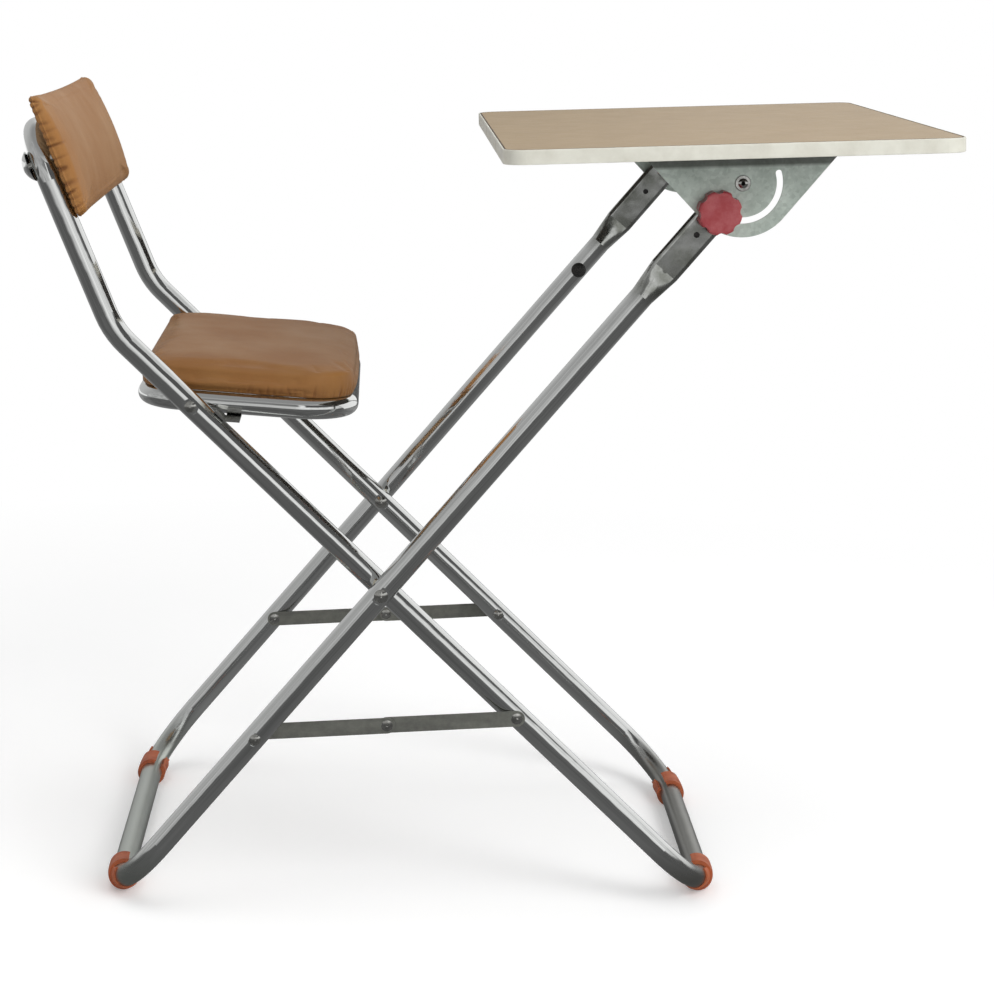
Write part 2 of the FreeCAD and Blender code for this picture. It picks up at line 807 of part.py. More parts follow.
bracket_inner = -desk_half_width - flat_thickness / 2 - washer_thickness
bracket_outer = bracket_inner - bracket_thickness


def flange_screw_places(outward):
    side = outward * (abs(bracket_inner) - flange_width / 2)
    return [at(u, side, underside_height) for u in (-flange_screw_spread, 0, flange_screw_spread)]


# Sheet bracket: straight top, sides that run down tangent to a round bottom, and a flange bent inward
def bracket(outward):
    lip_level = underside_height - bracket_lip
    reach = math.hypot(bracket_half_length, lip_level)
    tangent = math.acos(bracket_radius / reach) - math.atan2(lip_level, bracket_half_length)
    low_u = bracket_radius * math.cos(tangent)
    low_w = -bracket_radius * math.sin(tangent)
    top_rear = at(-bracket_half_length, 0, underside_height)
    top_front = at(bracket_half_length, 0, underside_height)
    lip_rear = at(-bracket_half_length, 0, lip_level)
    lip_front = at(bracket_half_length, 0, lip_level)
    edges = [Part.makeLine(top_rear, top_front), Part.makeLine(top_front, lip_front),
             Part.makeLine(lip_front, at(low_u, 0, low_w)),
             Part.Arc(at(low_u, 0, low_w), at(0, 0, -bracket_radius), at(-low_u, 0, low_w)).toShape(),
             Part.makeLine(at(-low_u, 0, low_w), lip_rear), Part.makeLine(lip_rear, top_rear)]
    plate = slab(Part.Wire(edges), bracket_outer, bracket_inner)
    flange = Part.makeBox(2 * (bracket_half_length - flange_setback), flange_width, bracket_thickness,
                          at(-bracket_half_length + flange_setback, bracket_inner,
                             underside_height - bracket_thickness))
    shape = plate.fuse(flange).cut(clamp_slot())
    shape = shape.cut(rod(0, 0, bracket_outer - overrun, bracket_inner + overrun,
                          tilt_rivet_radius + running_fit))
    for place in flange_screw_places(-1):
        shape = shape.cut(Part.makeCylinder(bracket_screw_radius + running_fit,
                                            bracket_thickness + 2 * overrun,
                                            place - at(0, 0, bracket_thickness + overrun), LINE_W))
    shape = solid_of(shape.removeSplitter())
    return shape if outward < 0 else shape.mirror(Vector(), LINE_Y)


def polar(radius, angle):
    return at(radius * math.cos(math.radians(angle)), 0, radius * math.sin(math.radians(angle)))


# Curved slot round the tilting pivot, with round ends
def clamp_slot():
    start = bracket_outer - overrun
    end = bracket_inner + overrun
    turns = (slot_front_angle, (slot_front_angle + slot_rear_angle) / 2, slot_rear_angle)
    outer = [polar(clamp_radius + slot_half_width, turn) for turn in turns]
    inner = [polar(clamp_radius - slot_half_width, turn) for turn in turns]
    edges = [Part.Arc(*outer).toShape(), Part.makeLine(outer[-1], inner[-1]),
             Part.Arc(*reversed(inner)).toShape(), Part.makeLine(inner[0], outer[0])]
    shape = slab(Part.Wire(edges), start, end)
    for angle in (slot_front_angle, slot_rear_angle):
        tip = polar(clamp_radius, angle)
        shape = shape.fuse(rod(tip.x, tip.z, start, end, slot_half_width))
    return shape


def bracket_screws():
    screws = []
    for outward in (-1, 1):
        for place in flange_screw_places(outward):
            under = place - at(0, 0, bracket_thickness)
            shank = Part.makeCylinder(bracket_screw_radius,
                                      bracket_thickness + bracket_screw_bite - running_fit, under, LINE_W)
            head = Part.makeCone(bracket_screw_head_radius / 2, bracket_screw_head_radius,
                                 bracket_screw_head, under - at(0, 0, bracket_screw_head), LINE_W)
            screws.append(solid_of(shank.fuse(head)))
    return Part.makeCompound(screws)


tube_face_outer = -desk_half_width - flat_thickness / 2
tube_face_inner = -desk_half_width + flat_thickness / 2


# Tubular rivet that the desktop tilts on, with a wide washer under its head
def tilt_rivets():
    face = bracket_outer - seating_gap
    shape = rod(0, 0, face - washer_thickness, tube_face_inner + seating_gap, tilt_rivet_radius)
    shape = shape.fuse(rod(0, 0, face - washer_thickness, face, tilt_washer_radius))
    shape = shape.fuse(dome(0, 0, face - washer_thickness, -1, tilt_head_radius, tilt_head_height))
    shape = shape.fuse(dome(0, 0, tube_face_inner + seating_gap, 1, tilt_washer_radius, tilt_head_height))
    bore = rod(0, 0, face - washer_thickness - 2 * tilt_head_height, bracket_inner, tilt_rivet_bore)
    return both_sides(solid_of(shape.cut(bore)))


def tilt_washers():
    return both_sides(washer(0, 0, bracket_inner + running_fit, tube_face_outer - running_fit,
                             tilt_washer_radius, tilt_rivet_radius + running_fit))


knob_face = bracket_outer - seating_gap - washer_thickness


# Clamp bolt fixed in the desk frame's flattened end; u runs up the frame from the clamp
def clamp_studs():
    tip = knob_face - knob_bore_depth + 2 * seating_gap
    shape = rod(0, 0, tip, tube_face_inner, stud_radius)
    shape = shape.fuse(dome(0, 0, tube_face_inner, 1, stud_head_radius, stud_head_height))
    return both_sides(solid_of(shape))


def clamp_spacers():
    return both_sides(washer(0, 0, bracket_inner + seating_gap, tube_face_outer, clamp_washer_radius,
                             stud_radius + running_fit))


def clamp_washers(outward):
    shape = washer(0, 0, knob_face, knob_face + washer_thickness, clamp_washer_radius,
                   stud_radius + running_fit)
    return shape if outward < 0 else shape.mirror(Vector(), LINE_Y)


def nut_solid(across):
    step = 2 * STRAIGHT / nut_sides
    corner = across / (2 * math.cos(math.radians(step / 2)))
    points = [polar(corner, step * turn) for turn in range(nut_sides)]
    return slab(polygon(points), knob_face - nut_thickness, knob_face)


def knob(outward):
    face = knob_face - knob_height
    shape = rod(0, 0, face, knob_face, knob_radius)
    front = [edge for edge in shape.Edges if abs(edge.BoundBox.YMax - face) < running_fit]
    shape = shape.makeFillet(knob_round, front)
    reach = knob_radius + lobe_cut_radius - lobe_cut_depth
    for lobe in range(knob_lobes):
        place = polar(reach, 2 * STRAIGHT * lobe / knob_lobes)
        shape = shape.cut(rod(place.x, place.z, face - overrun, knob_face + overrun, lobe_cut_radius))
    shape = shape.cut(nut_solid(nut_across_flats + 2 * running_fit))
    shape = shape.cut(rod(0, 0, knob_face - knob_bore_depth, knob_face, stud_radius + soft_gap))
    shape = solid_of(shape)
    return shape if outward < 0 else shape.mirror(Vector(), LINE_Y)


def knob_nut(outward):
    bore = rod(0, 0, knob_face - nut_thickness - overrun, knob_face + overrun, stud_radius + running_fit)
    shape = solid_of(nut_solid(nut_across_flats).cut(bore))
    return shape if outward < 0 else shape.mirror(Vector(), LINE_Y)


# Places of the sub-assemblies in the whole part
crossing = at(0, 0, pivot_height)


def on_frame(angle, distance):
    slope = math.radians(angle)
    return crossing + at(distance * math.cos(slope), 0, distance * math.sin(slope))


desk_stay_place = on_frame(desk_angle, -stay_reach)
chair_stay_place = on_frame(chair_angle, -stay_reach)
stay_line = chair_stay_place - desk_stay_place
stay_angle = math.degrees(math.atan2(stay_line.z, stay_line.x))
tilt_place = on_frame(desk_angle, desktop_pivot)
clamp_place = on_frame(desk_angle, desktop_pivot - clamp_radius)
seat_pivot_place = on_frame(chair_angle, seat_place)


def desk_frame_pieces():
    feet = foot_sleeves(desk_leg, desk_half_width)
    return {
        "desk_frame_tube": desk_frame_tube(),
        "desk_foot_near": feet,
        "desk_foot_far": feet.mirror(Vector(), LINE_Y),
        "fold_pivot_rivets": fold_pivot_rivets(),
        "fold_pivot_spacers": fold_pivot_spacers(),
        "desk_stay_rivets": desk_stay_rivets(),
        "desk_stay_washers": desk_stay_washers(),
        "fold_buffers": fold_buffers(),
    }


def chair_frame_pieces():
    feet = foot_sleeves(chair_leg, chair_half_width)
    return {
        "chair_frame_tube": chair_frame_tube(),
        "chair_foot_near": feet,
        "chair_foot_far": feet.mirror(Vector(), LINE_Y),
        "chair_stay_rivets": chair_stay_rivets(),
        "chair_stay_washers": chair_stay_washers(),
        "backrest_board": backrest_board(),
        "backrest_pad": backrest_pad(),
        "backrest_bolts": backrest_bolts(),
        "backrest_caps": backrest_caps(),
    }


def seat_pieces():
    return {
        "seat_ring": seat_ring(),
        "seat_tabs": seat_tabs(),
        "seat_stops": seat_stops(),
        "seat_board": seat_board(),
        "seat_screws": seat_screws(),
        "seat_cushion": seat_cushion(),
        "seat_pivot_rivets": seat_pivot_rivets(),
        "seat_pivot_washers": seat_pivot_washers(),
    }


def desktop_pieces():
    return {
        "desktop_board": desktop_board(),
        "desktop_laminate": desktop_laminate(),
        "desktop_edge_band": desktop_edge_band(),
        "bracket_near": bracket(-1),
        "bracket_far": bracket(1),
        "bracket_screws": bracket_screws(),
    }


def clamp_pieces():
    return {
        "clamp_studs": clamp_studs(),
        "clamp_spacers": clamp_spacers(),
        "clamp_washer_near": clamp_washers(-1),
        "clamp_washer_far": clamp_washers(1),
        "knob_near": knob(-1),
        "knob_far": knob(1),
        "knob_nut_near": knob_nut(-1),
        "knob_nut_far": knob_nut(1),
    }


def all_pieces():
    pieces = {}
    groups = (
        (desk_frame_pieces(), crossing, desk_angle),
        (chair_frame_pieces(), crossing, chair_angle),
        (seat_pieces(), seat_pivot_place, seat_tilt),
        (desktop_pieces(), tilt_place, desktop_tilt),
        ({"tilt_rivets": tilt_rivets(), "tilt_washers": tilt_washers()}, tilt_place, desk_angle),
        (clamp_pieces(), clamp_place, desk_angle),
        ({"desk_stay_straps": strap(desk_strap_outer, desk_strap_inner, 1),
          "desk_middle_rivets": middle_rivets(desk_strap_outer, desk_strap_inner, 1, -1)},
         desk_stay_place, stay_angle),
        ({"chair_stay_straps": strap(chair_strap_outer, chair_strap_inner, -1),
          "chair_middle_rivets": middle_rivets(chair_strap_outer, chair_strap_inner, -1, 1)},
         chair_stay_place, stay_angle),
    )
    for group, origin, angle in groups:
        for name, shape in group.items():
            pieces[name] = placed(shape, origin, angle)
    for name in pieces:
        if "_foot_" in name:
            pieces[name] = floor_flat(pieces[name])
    return pieces


def main():
    pieces = all_pieces()
    box = Part.makeCompound(list(pieces.values())).optimalBoundingBox(False, False)
    shift = at(-box.Center.x, -box.Center.y, -box.ZMin)
    os.makedirs("parts", exist_ok=True)
    for name, shape in pieces.items():
        shape.translated(shift).exportStep(f"parts/{name}.step")
        print(name, len(shape.Solids), "solids, volume", round(shape.Volume), "valid", shape.isValid())
    joints = (("fold", crossing), ("desk stay", desk_stay_place), ("chair stay", chair_stay_place),
              ("seat", seat_pivot_place), ("tilt", tilt_place), ("clamp", clamp_place))
    for name, place in joints:
        spot = place + shift
        print("joint", name, round(spot.x, 3), round(spot.y, 3), round(spot.z, 3))
    print("size", round(box.XLength, 1), round(box.YLength, 1), round(box.ZLength, 1))


main()
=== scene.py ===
import bpy
import json
import math
import numpy as np
from mathutils import Matrix, Vector


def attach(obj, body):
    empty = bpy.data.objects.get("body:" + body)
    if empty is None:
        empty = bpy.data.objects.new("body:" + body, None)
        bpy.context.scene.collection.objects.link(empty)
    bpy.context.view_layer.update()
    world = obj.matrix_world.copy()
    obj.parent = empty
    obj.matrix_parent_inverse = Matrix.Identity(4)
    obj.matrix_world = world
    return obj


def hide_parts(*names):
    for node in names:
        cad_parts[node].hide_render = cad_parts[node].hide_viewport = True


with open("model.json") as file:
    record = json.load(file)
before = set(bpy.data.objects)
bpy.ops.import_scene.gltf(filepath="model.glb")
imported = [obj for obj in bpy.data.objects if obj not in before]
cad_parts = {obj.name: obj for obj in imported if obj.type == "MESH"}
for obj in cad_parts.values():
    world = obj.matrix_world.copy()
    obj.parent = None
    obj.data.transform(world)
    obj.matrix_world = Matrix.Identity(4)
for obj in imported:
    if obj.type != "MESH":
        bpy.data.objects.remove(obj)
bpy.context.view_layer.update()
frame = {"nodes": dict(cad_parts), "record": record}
scene = bpy.context.scene
cadNodes = frame["nodes"]
print("frame loaded:", len(cadNodes), "nodes")


# A socket takes a link from another socket, or else a plain value
def feed(tree, socket, value):
    if isinstance(value, bpy.types.NodeSocket):
        tree.links.new(value, socket)
    else:
        socket.default_value = value


def addNode(tree, kind, values=None, **settings):
    node = tree.nodes.new(kind)
    for key, value in settings.items():
        setattr(node, key, value)
    for key, value in (values or {}).items():
        feed(tree, node.inputs[key], value)
    return node


def freshMaterial(name):
    material = bpy.data.materials.new(name)
    material.use_nodes = True
    tree = material.node_tree
    return material, tree, tree.nodes["Principled BSDF"]


def onObject(tree, stretch=(1, 1, 1), turn=(0, 0, 0)):
    coords = addNode(tree, "ShaderNodeTexCoord").outputs["Object"]
    values = {"Vector": coords, "Scale": stretch, "Rotation": turn}
    return addNode(tree, "ShaderNodeMapping", values).outputs[0]


def noise(tree, where, scale, detail=3.0, roughness=0.5, distortion=0.0):
    return addNode(tree, "ShaderNodeTexNoise", {"Vector": where, "Scale": scale, "Detail": detail,
                                                "Roughness": roughness, "Distortion": distortion}).outputs[0]


def voronoi(tree, where, scale, feature="F1"):
    values = {"Vector": where, "Scale": scale}
    return addNode(tree, "ShaderNodeTexVoronoi", values, feature=feature).outputs[0]


# Remaps a value from one range to another, clamped
def remap(tree, value, low, high, toLow=0.0, toHigh=1.0):
    return addNode(tree, "ShaderNodeMapRange", {"Value": value, "From Min": low, "From Max": high,
                                                "To Min": toLow, "To Max": toHigh}).outputs[0]


# Share that a noise texture gives between two values
def noiseShare(tree, where, texture, limits):
    return remap(tree, noise(tree, where, *texture), *limits)


def arithmetic(tree, operation, first, second):
    return addNode(tree, "ShaderNodeMath", {0: first, 1: second}, operation=operation).outputs[0]


def product(tree, first, second):
    return arithmetic(tree, "MULTIPLY", first, second)


# Sum of two values by their shares
def weighted(tree, first, firstShare, second, secondShare):
    return arithmetic(tree, "ADD", product(tree, first, firstShare), product(tree, second, secondShare))


# One between two limits and nothing outside them, with soft edges
def between(tree, value, limits, soft):
    low, high = limits
    rising = remap(tree, value, low - soft, low + soft)
    return product(tree, rising, remap(tree, value, high + soft, high - soft))


def blendValues(tree, share, first, second):
    return addNode(tree, "ShaderNodeMix", {0: share, 2: first, 3: second}, data_type="FLOAT").outputs[0]


def blendColours(tree, share, first, second):
    return addNode(tree, "ShaderNodeMix", {0: share, 6: first, 7: second}, data_type="RGBA").outputs[2]


# Colour that goes from the first to the second as a value crosses a range
def shaded(tree, value, limits, first, second):
    return blendColours(tree, remap(tree, value, *limits), first, second)


def vectorMath(tree, operation, first, second, output="Vector"):
    return addNode(tree, "ShaderNodeVectorMath", {0: first, 1: second}, operation=operation).outputs[output]


# Distance from a point along a direction
def alongFrom(tree, where, point, direction):
    return vectorMath(tree, "DOT_PRODUCT", vectorMath(tree, "SUBTRACT", where, point), direction, "Value")


# Distance from the line that runs across the part through a point
def awayFromAxis(tree, where, point):
    flat = vectorMath(tree, "MULTIPLY", vectorMath(tree, "SUBTRACT", where, point), (1, 0, 1))
    return addNode(tree, "ShaderNodeVectorMath", {0: flat}, operation="LENGTH").outputs["Value"]


def bump(tree, height, strength, distance, under=None):
    values = {"Height": height, "Strength": strength, "Distance": distance}
    if under is not None:
        values["Normal"] = under
    return addNode(tree, "ShaderNodeBump", values).outputs[0]


def coat(tree, shader, colour, roughness, normal, metallic=0.0, specular=0.5):
    values = {"Base Color": colour, "Roughness": roughness, "Normal": normal, "Metallic": metallic,
              "Specular IOR Level": specular}
    for name, value in values.items():
        feed(tree, shader.inputs[name], value)


# From a paint program's numbers (0 to 255) to the linear colour that a shader takes
def paint(red, green, blue):
    shares = np.array([red, green, blue]) / 255
    linear = np.where(shares <= 0.04045, shares / 12.92, ((shares + 0.055) / 1.055) ** 2.4)
    return (*linear.tolist(), 1.0)


def placed(name, data):
    made = bpy.data.objects.new(name, data)
    scene.collection.objects.link(made)
    return made


cameraLook = {"focalPixels": 2315.97, "place": (-0.09212, -2.10309, 0.81473), "pitchDown": 10.908,
              "yaw": 3.285, "roll": 2.475, "shiftY": -0.08, "imageLongSide": 995, "sensorWidth": 36,
              "clip": (0.05, 60)}


def makeCamera(look):
    pitch, yaw, roll = (math.radians(look[key]) for key in ("pitchDown", "yaw", "roll"))
    forward = Vector((math.sin(yaw) * math.cos(pitch), math.cos(yaw) * math.cos(pitch), -math.sin(pitch)))
    level = Vector((math.cos(yaw), -math.sin(yaw), 0))
    upright = level.cross(forward)
    across = math.cos(roll) * level + math.sin(roll) * upright
    up = math.cos(roll) * upright - math.sin(roll) * level
    data = bpy.data.cameras.new("photoCamera")
    data.sensor_width = look["sensorWidth"]
    data.lens = look["focalPixels"] * look["sensorWidth"] / look["imageLongSide"]
    data.shift_y = look["shiftY"]
    data.clip_start, data.clip_end = look["clip"]
    scene.camera = placed("photoCamera", data)
    turned = Matrix((across, up, -forward)).transposed().to_4x4()
    scene.camera.matrix_world = Matrix.Translation(look["place"]) @ turned


makeCamera(cameraLook)
print("camera placed")


# Mesh of a band of points whose columns go round, closed by a fan to a pole at either end
def bandMesh(name, rows, firstPole, lastPole):
    count, around = rows.shape[:2]
    points = np.concatenate([rows.reshape(-1, 3), np.array([firstPole, lastPole])])
    index = np.arange(count * around).reshape(count, around)
    following = np.roll(index, -1, axis=1)
    quads = np.stack([index[:-1], following[:-1], following[1:], index[1:]], axis=-1).reshape(-1, 4)
    start, end = count * around, count * around + 1
    fans = np.concatenate([np.stack([following[0], index[0], np.full(around, start)], axis=-1),
                           np.stack([index[-1], following[-1], np.full(around, end)], axis=-1)])
    # a negative volume says that the faces point inwards
    triangles = np.concatenate([quads[:, [0, 1, 2]], quads[:, [0, 2, 3]], fans])
    corners = points[triangles]
    volume = np.einsum("ij,ij->i", corners[:, 0], np.cross(corners[:, 1], corners[:, 2])).sum()
    if volume < 0:
        quads, fans = quads[:, ::-1], fans[:, ::-1]
    mesh = bpy.data.meshes.new(name)
    mesh.from_pydata(points.tolist(), [], quads.tolist() + fans.tolist())
    mesh.validate()
    mesh.shade_smooth()
    return placed(name, mesh)


# Rounded rectangle by its own length: shares 0 to 1 go once round from the middle of the rear edge, over
# nine stretches, straight and corner by turns. Gives places, outward normals and the whole length.
def roundedOutline(shares, rear, front, halfWidth, rearCorner, frontCorner):
    quarter = math.pi / 2
    sideLength = front - rear - rearCorner - frontCorner
    lengths = np.array([halfWidth - rearCorner, quarter * rearCorner, sideLength, quarter * frontCorner,
                        2 * (halfWidth - frontCorner), quarter * frontCorner, sideLength,
                        quarter * rearCorner, halfWidth - rearCorner])
    ends = np.cumsum(lengths)
    travelled = np.mod(shares, 1.0) * ends[-1]
    stretch = np.clip(np.searchsorted(ends, travelled, side="right"), 0, 8)
    into = (travelled - (ends - lengths)[stretch]) / lengths[stretch]
    # the normal's angle where each stretch starts, and its turn along the stretch
    angles = np.radians([180, 180, 270, 270, 360, 360, 450, 450, 540])
    turns = np.array([0, 1, 0, 1, 0, 1, 0, 1, 0]) * quarter
    normal = angles[stretch] + turns[stretch] * into
    outward = np.stack([np.cos(normal), np.sin(normal)], axis=-1)
    low, high = -halfWidth, halfWidth
    centres = np.array([[rear + rearCorner, low + rearCorner], [front - frontCorner, low + frontCorner],
                        [front - frontCorner, high - frontCorner], [rear + rearCorner, high - rearCorner]])
    corner = np.array([0, 0, 0, 1, 1, 2, 2, 3, 3])[stretch]
    radius = np.where((corner == 0) | (corner == 3), rearCorner, frontCorner)
    onArc = centres[corner] + radius[:, None] * outward
    starts = np.array([[rear, 0], [rear, 0], [rear + rearCorner, low], [0, 0], [front, low + frontCorner],
                       [0, 0], [front - frontCorner, high], [0, 0], [rear, high - rearCorner]])
    ways = np.array([[0, -1], [0, 0], [1, 0], [0, 0], [0, 1], [0, 0], [-1, 0], [0, 0], [0, -1]])
    onLine = starts[stretch] + ways[stretch] * (into * lengths[stretch])[:, None]
    place = np.where((stretch % 2 == 1)[:, None], onArc, onLine)
    return place, outward, ends[-1]


# From a piece's own millimetres to metres in the part's frame, turned about its origin
def toFrame(look, along, across, level):
    angle = math.radians(look["turnDeg"])
    east = (along * math.cos(angle) - level * math.sin(angle)) / 1000 + look["origin"][0]
    up = (along * math.sin(angle) + level * math.cos(angle)) / 1000 + look["origin"][1]
    return np.stack([east, across / 1000, up], axis=-1)


# Seat cushion and backrest pad are each one closed surface of two parameters: round it runs a rounded
# rectangle, and across it a profile of pocket, rolled lower edge, side, shoulder and crowned top, in
# millimetres. The cap is the most that the cloth may move.
seatLook = {
    "origin": (-0.240766, 0.443054), "turnDeg": -2.5, "facing": 1, "rear": -46.0, "front": 138.0,
    "halfWidth": 144.0, "rearCorner": 26.0, "frontCorner": 44.0, "low": 8.95, "high": 32.4, "roll": 2.6,
    "shoulder": 5.5, "shoulderWide": 7.0, "bulge": 0.9, "crown": 1.8, "crownPowers": (4, 6),
    "crownAcross": 1.0, "frontBow": 3.0, "hollow": 0.0, "edgeDip": 0.0, "boardRear": -42.5,
    "boardFront": 134.5, "boardHalfWidth": 139.5, "boardCorners": (30.0, 43.0), "pocketTop": 16.35,
    "cap": 2.0, "seed": 7,
}
padLook = {
    "origin": (-0.30680, 0.50420), "turnDeg": 113.4, "facing": -1, "rear": 99.0, "front": 205.0,
    "halfWidth": 173.5, "rearCorner": 10.0, "frontCorner": 10.0, "low": 10.3, "high": 21.4, "roll": 2.0,
    "shoulder": 7.2, "shoulderWide": 9.4, "bulge": 0.7, "crown": 6.2, "crownPowers": (2, 5),
    "crownAcross": 0.6, "frontBow": 0.0, "hollow": 4.0, "edgeDip": 2.0, "boardRear": 105.0,
    "boardFront": 199.0, "boardHalfWidth": 167.5, "boardCorners": (7.0, 7.0), "pocketTop": 15.3,
    "cap": 1.8, "seed": 11,
}
fineGrid = {"pocket": 6, "wall": 3, "roll": 6, "side": 22, "shoulder": 12, "top": 34, "columns": 900}
coarseGrid = {"pocket": 4, "wall": 3, "roll": 4, "side": 7, "shoulder": 6, "top": 16, "columns": 180}
profileLook = {"pocketStart": 0.2, "pocketEase": 0.3, "leastShrink": 0.02, "topCrowding": 1.15,
               "topReach": 90.0}
clothSettings = {"quality": 6, "mass": 0.25, "tension_stiffness": 22, "compression_stiffness": 22,
                 "shear_stiffness": 22, "bending_stiffness": 3, "use_pressure": True,
                 "uniform_pressure_force": 4, "vertex_group_mass": "held"}
clothRun = {"frames": 20, "heldBelow": 0.12}


# Rows of the profile, from the pocket's middle to the crown's: how far each lies inside the outline, its
# level, its shrinking towards the middle, whether it follows the board, and its height as a share
def padProfile(look, grid):
    low, high, roll = look["low"], look["high"], look["roll"]
    shoulder, wide, pocketTop = look["shoulder"], look["shoulderWide"], look["pocketTop"]
    quarter = np.linspace(0, math.pi / 2, grid["shoulder"])
    lowQuarter = np.linspace(0, math.pi / 2, grid["roll"])
    pocket = np.linspace(profileLook["pocketStart"], 1, grid["pocket"])
    wall = np.linspace(pocketTop, low, grid["wall"] + 1)[1:]
    side = np.linspace(0, 1, grid["side"] + 2)[1:-1]
    sideLevel = low + roll + side * (high - shoulder - low - roll)
    top = 1 - np.linspace(0, 1, grid["top"] + 1)[1:] ** profileLook["topCrowding"]
    top = np.maximum(top, profileLook["leastShrink"])
    rows = [
        (np.zeros(len(pocket)), np.full(len(pocket), pocketTop), pocket),
        (np.zeros(len(wall)), wall, np.ones(len(wall))),
        (roll - roll * np.sin(lowQuarter), low + roll - roll * np.cos(lowQuarter), np.ones(len(lowQuarter))),
        (-look["bulge"] * np.sin(math.pi * side), sideLevel, np.ones(len(side))),
        (wide - wide * np.cos(quarter), high - shoulder + shoulder * np.sin(quarter), np.ones(len(quarter))),
        (np.full(len(top), wide), np.full(len(top), high), top),
    ]
    inset, level, shrink = (np.concatenate([row[part] for row in rows]) for part in range(3))
    onBoard = np.arange(len(inset)) < len(rows[0][0]) + len(rows[1][0])
    return {"inset": inset, "level": level, "shrink": shrink, "onBoard": onBoard,
            "height": np.clip((level - low) / (high - low), 0, 1)}


# Grid of a pad in its own millimetres (along, across, level), before its folds, and its outline's length
def padGrid(look, shares, profile):
    outline, outward, length = roundedOutline(shares, look["rear"], look["front"], look["halfWidth"],
                                              look["rearCorner"], look["frontCorner"])
    board, boardOut = roundedOutline(shares, look["boardRear"], look["boardFront"],
                                     look["boardHalfWidth"], *look["boardCorners"])[:2]
    middle = np.array([(look["rear"] + look["front"]) / 2, 0.0])
    skin = outline[None] - profile["inset"][:, None, None] * outward[None]
    pocket = board[None] + profileLook["pocketEase"] * boardOut[None]
    base = np.where(profile["onBoard"][:, None, None], pocket, skin)
    plan = middle + profile["shrink"][:, None, None] * (base - middle)
    # the crown: one minus a power of the place along, times one minus a power of the place across, and
    # less down the sides; the front edge bows by the square of the place across
    onSkin = ~profile["onBoard"][:, None]
    reach = np.array([(look["front"] - look["rear"]) / 2, look["halfWidth"]]) - look["shoulderWide"]
    parts = np.clip(np.abs(plan - middle) / reach, 0, 1) ** np.array(look["crownPowers"])
    rising = profile["height"][:, None] * onSkin
    crown = look["crown"] * (1 - parts[..., 0]) * (1 - look["crownAcross"] * parts[..., 1]) * rising
    forward = np.clip((plan[..., 0] - middle[0]) / reach[0], 0, 1)
    plan[..., 0] -= look["frontBow"] * forward * (plan[..., 1] / look["halfWidth"]) ** 2 * onSkin
    level = profile["level"][:, None] + crown
    return np.concatenate([plan, level[..., None]], axis=-1), length


# A pad's grid in the part's frame; the hollow bows the pad round the sitter
def padToFrame(look, grid):
    along, across, level = grid[..., 0], grid[..., 1], grid[..., 2]
    share = np.clip((level - look["pocketTop"]) / (look["high"] - look["pocketTop"]), 0, 1)
    bow = 1 - (across / look["halfWidth"]) ** 2
    level = level - look["hollow"] * share * bow
    along = along - look["edgeDip"] * bow * (along - look["rear"]) / (look["front"] - look["rear"])
    return toFrame(look, along, across, look["facing"] * level)


# Lets air pressure swell a coarse copy of the pad as cloth, with its underside held. Gives the capped
# moves, and the largest one before the cap.
def swelled(look, grid, held):
    frameGrid = padToFrame(look, grid)
    cloth = bandMesh("clothTrial", frameGrid, frameGrid[0].mean(axis=0), frameGrid[-1].mean(axis=0))
    group = cloth.vertex_groups.new(name="held")
    heldPoints = np.flatnonzero(np.repeat(held, grid.shape[1])).tolist() + [grid.shape[0] * grid.shape[1]]
    group.add(heldPoints, 1.0, "REPLACE")
    cloth.modifiers.new("cloth", "CLOTH")
    settings = cloth.modifiers["cloth"].settings
    for key, value in clothSettings.items():
        setattr(settings, key, value)
    settings.effector_weights.gravity = 0
    for step in range(1, clothRun["frames"] + 1):
        scene.frame_set(step)
    evaluated = cloth.evaluated_get(bpy.context.evaluated_depsgraph_get())
    moved = np.zeros(len(cloth.data.vertices) * 3, np.float32)
    evaluated.data.vertices.foreach_get("co", moved)
    moved = moved.reshape(-1, 3)[:grid.shape[0] * grid.shape[1]].reshape(frameGrid.shape)
    scene.frame_set(1)
    bpy.data.objects.remove(cloth)
    move = moved - frameGrid
    size = np.linalg.norm(move, axis=-1, keepdims=True)
    cap = look["cap"] / 1000
    return move * np.minimum(1, cap / np.maximum(size, 1e-9)), size.max()


# Weights that carry values from even coarse stations to fine ones by straight lines
def hatWeights(fine, coarse, wrap):
    place = fine * (coarse if wrap else coarse - 1)
    low = np.floor(place).astype(int)
    part = place - low
    weights = np.zeros((len(fine), coarse))
    rows = np.arange(len(fine))
    weights[rows, low % coarse if wrap else np.minimum(low, coarse - 1)] += 1 - part
    weights[rows, (low + 1) % coarse if wrap else np.minimum(low + 1, coarse - 1)] += part
    return weights


# How far along the profile each row lies, to match coarse rows with fine ones
def rowTravel(profile):
    reach = profileLook["topReach"] * (1 - profile["shrink"])
    steps = np.hypot(np.diff(profile["inset"]) + np.diff(reach), np.diff(profile["level"]))
    return np.concatenate([[0], np.cumsum(steps)])


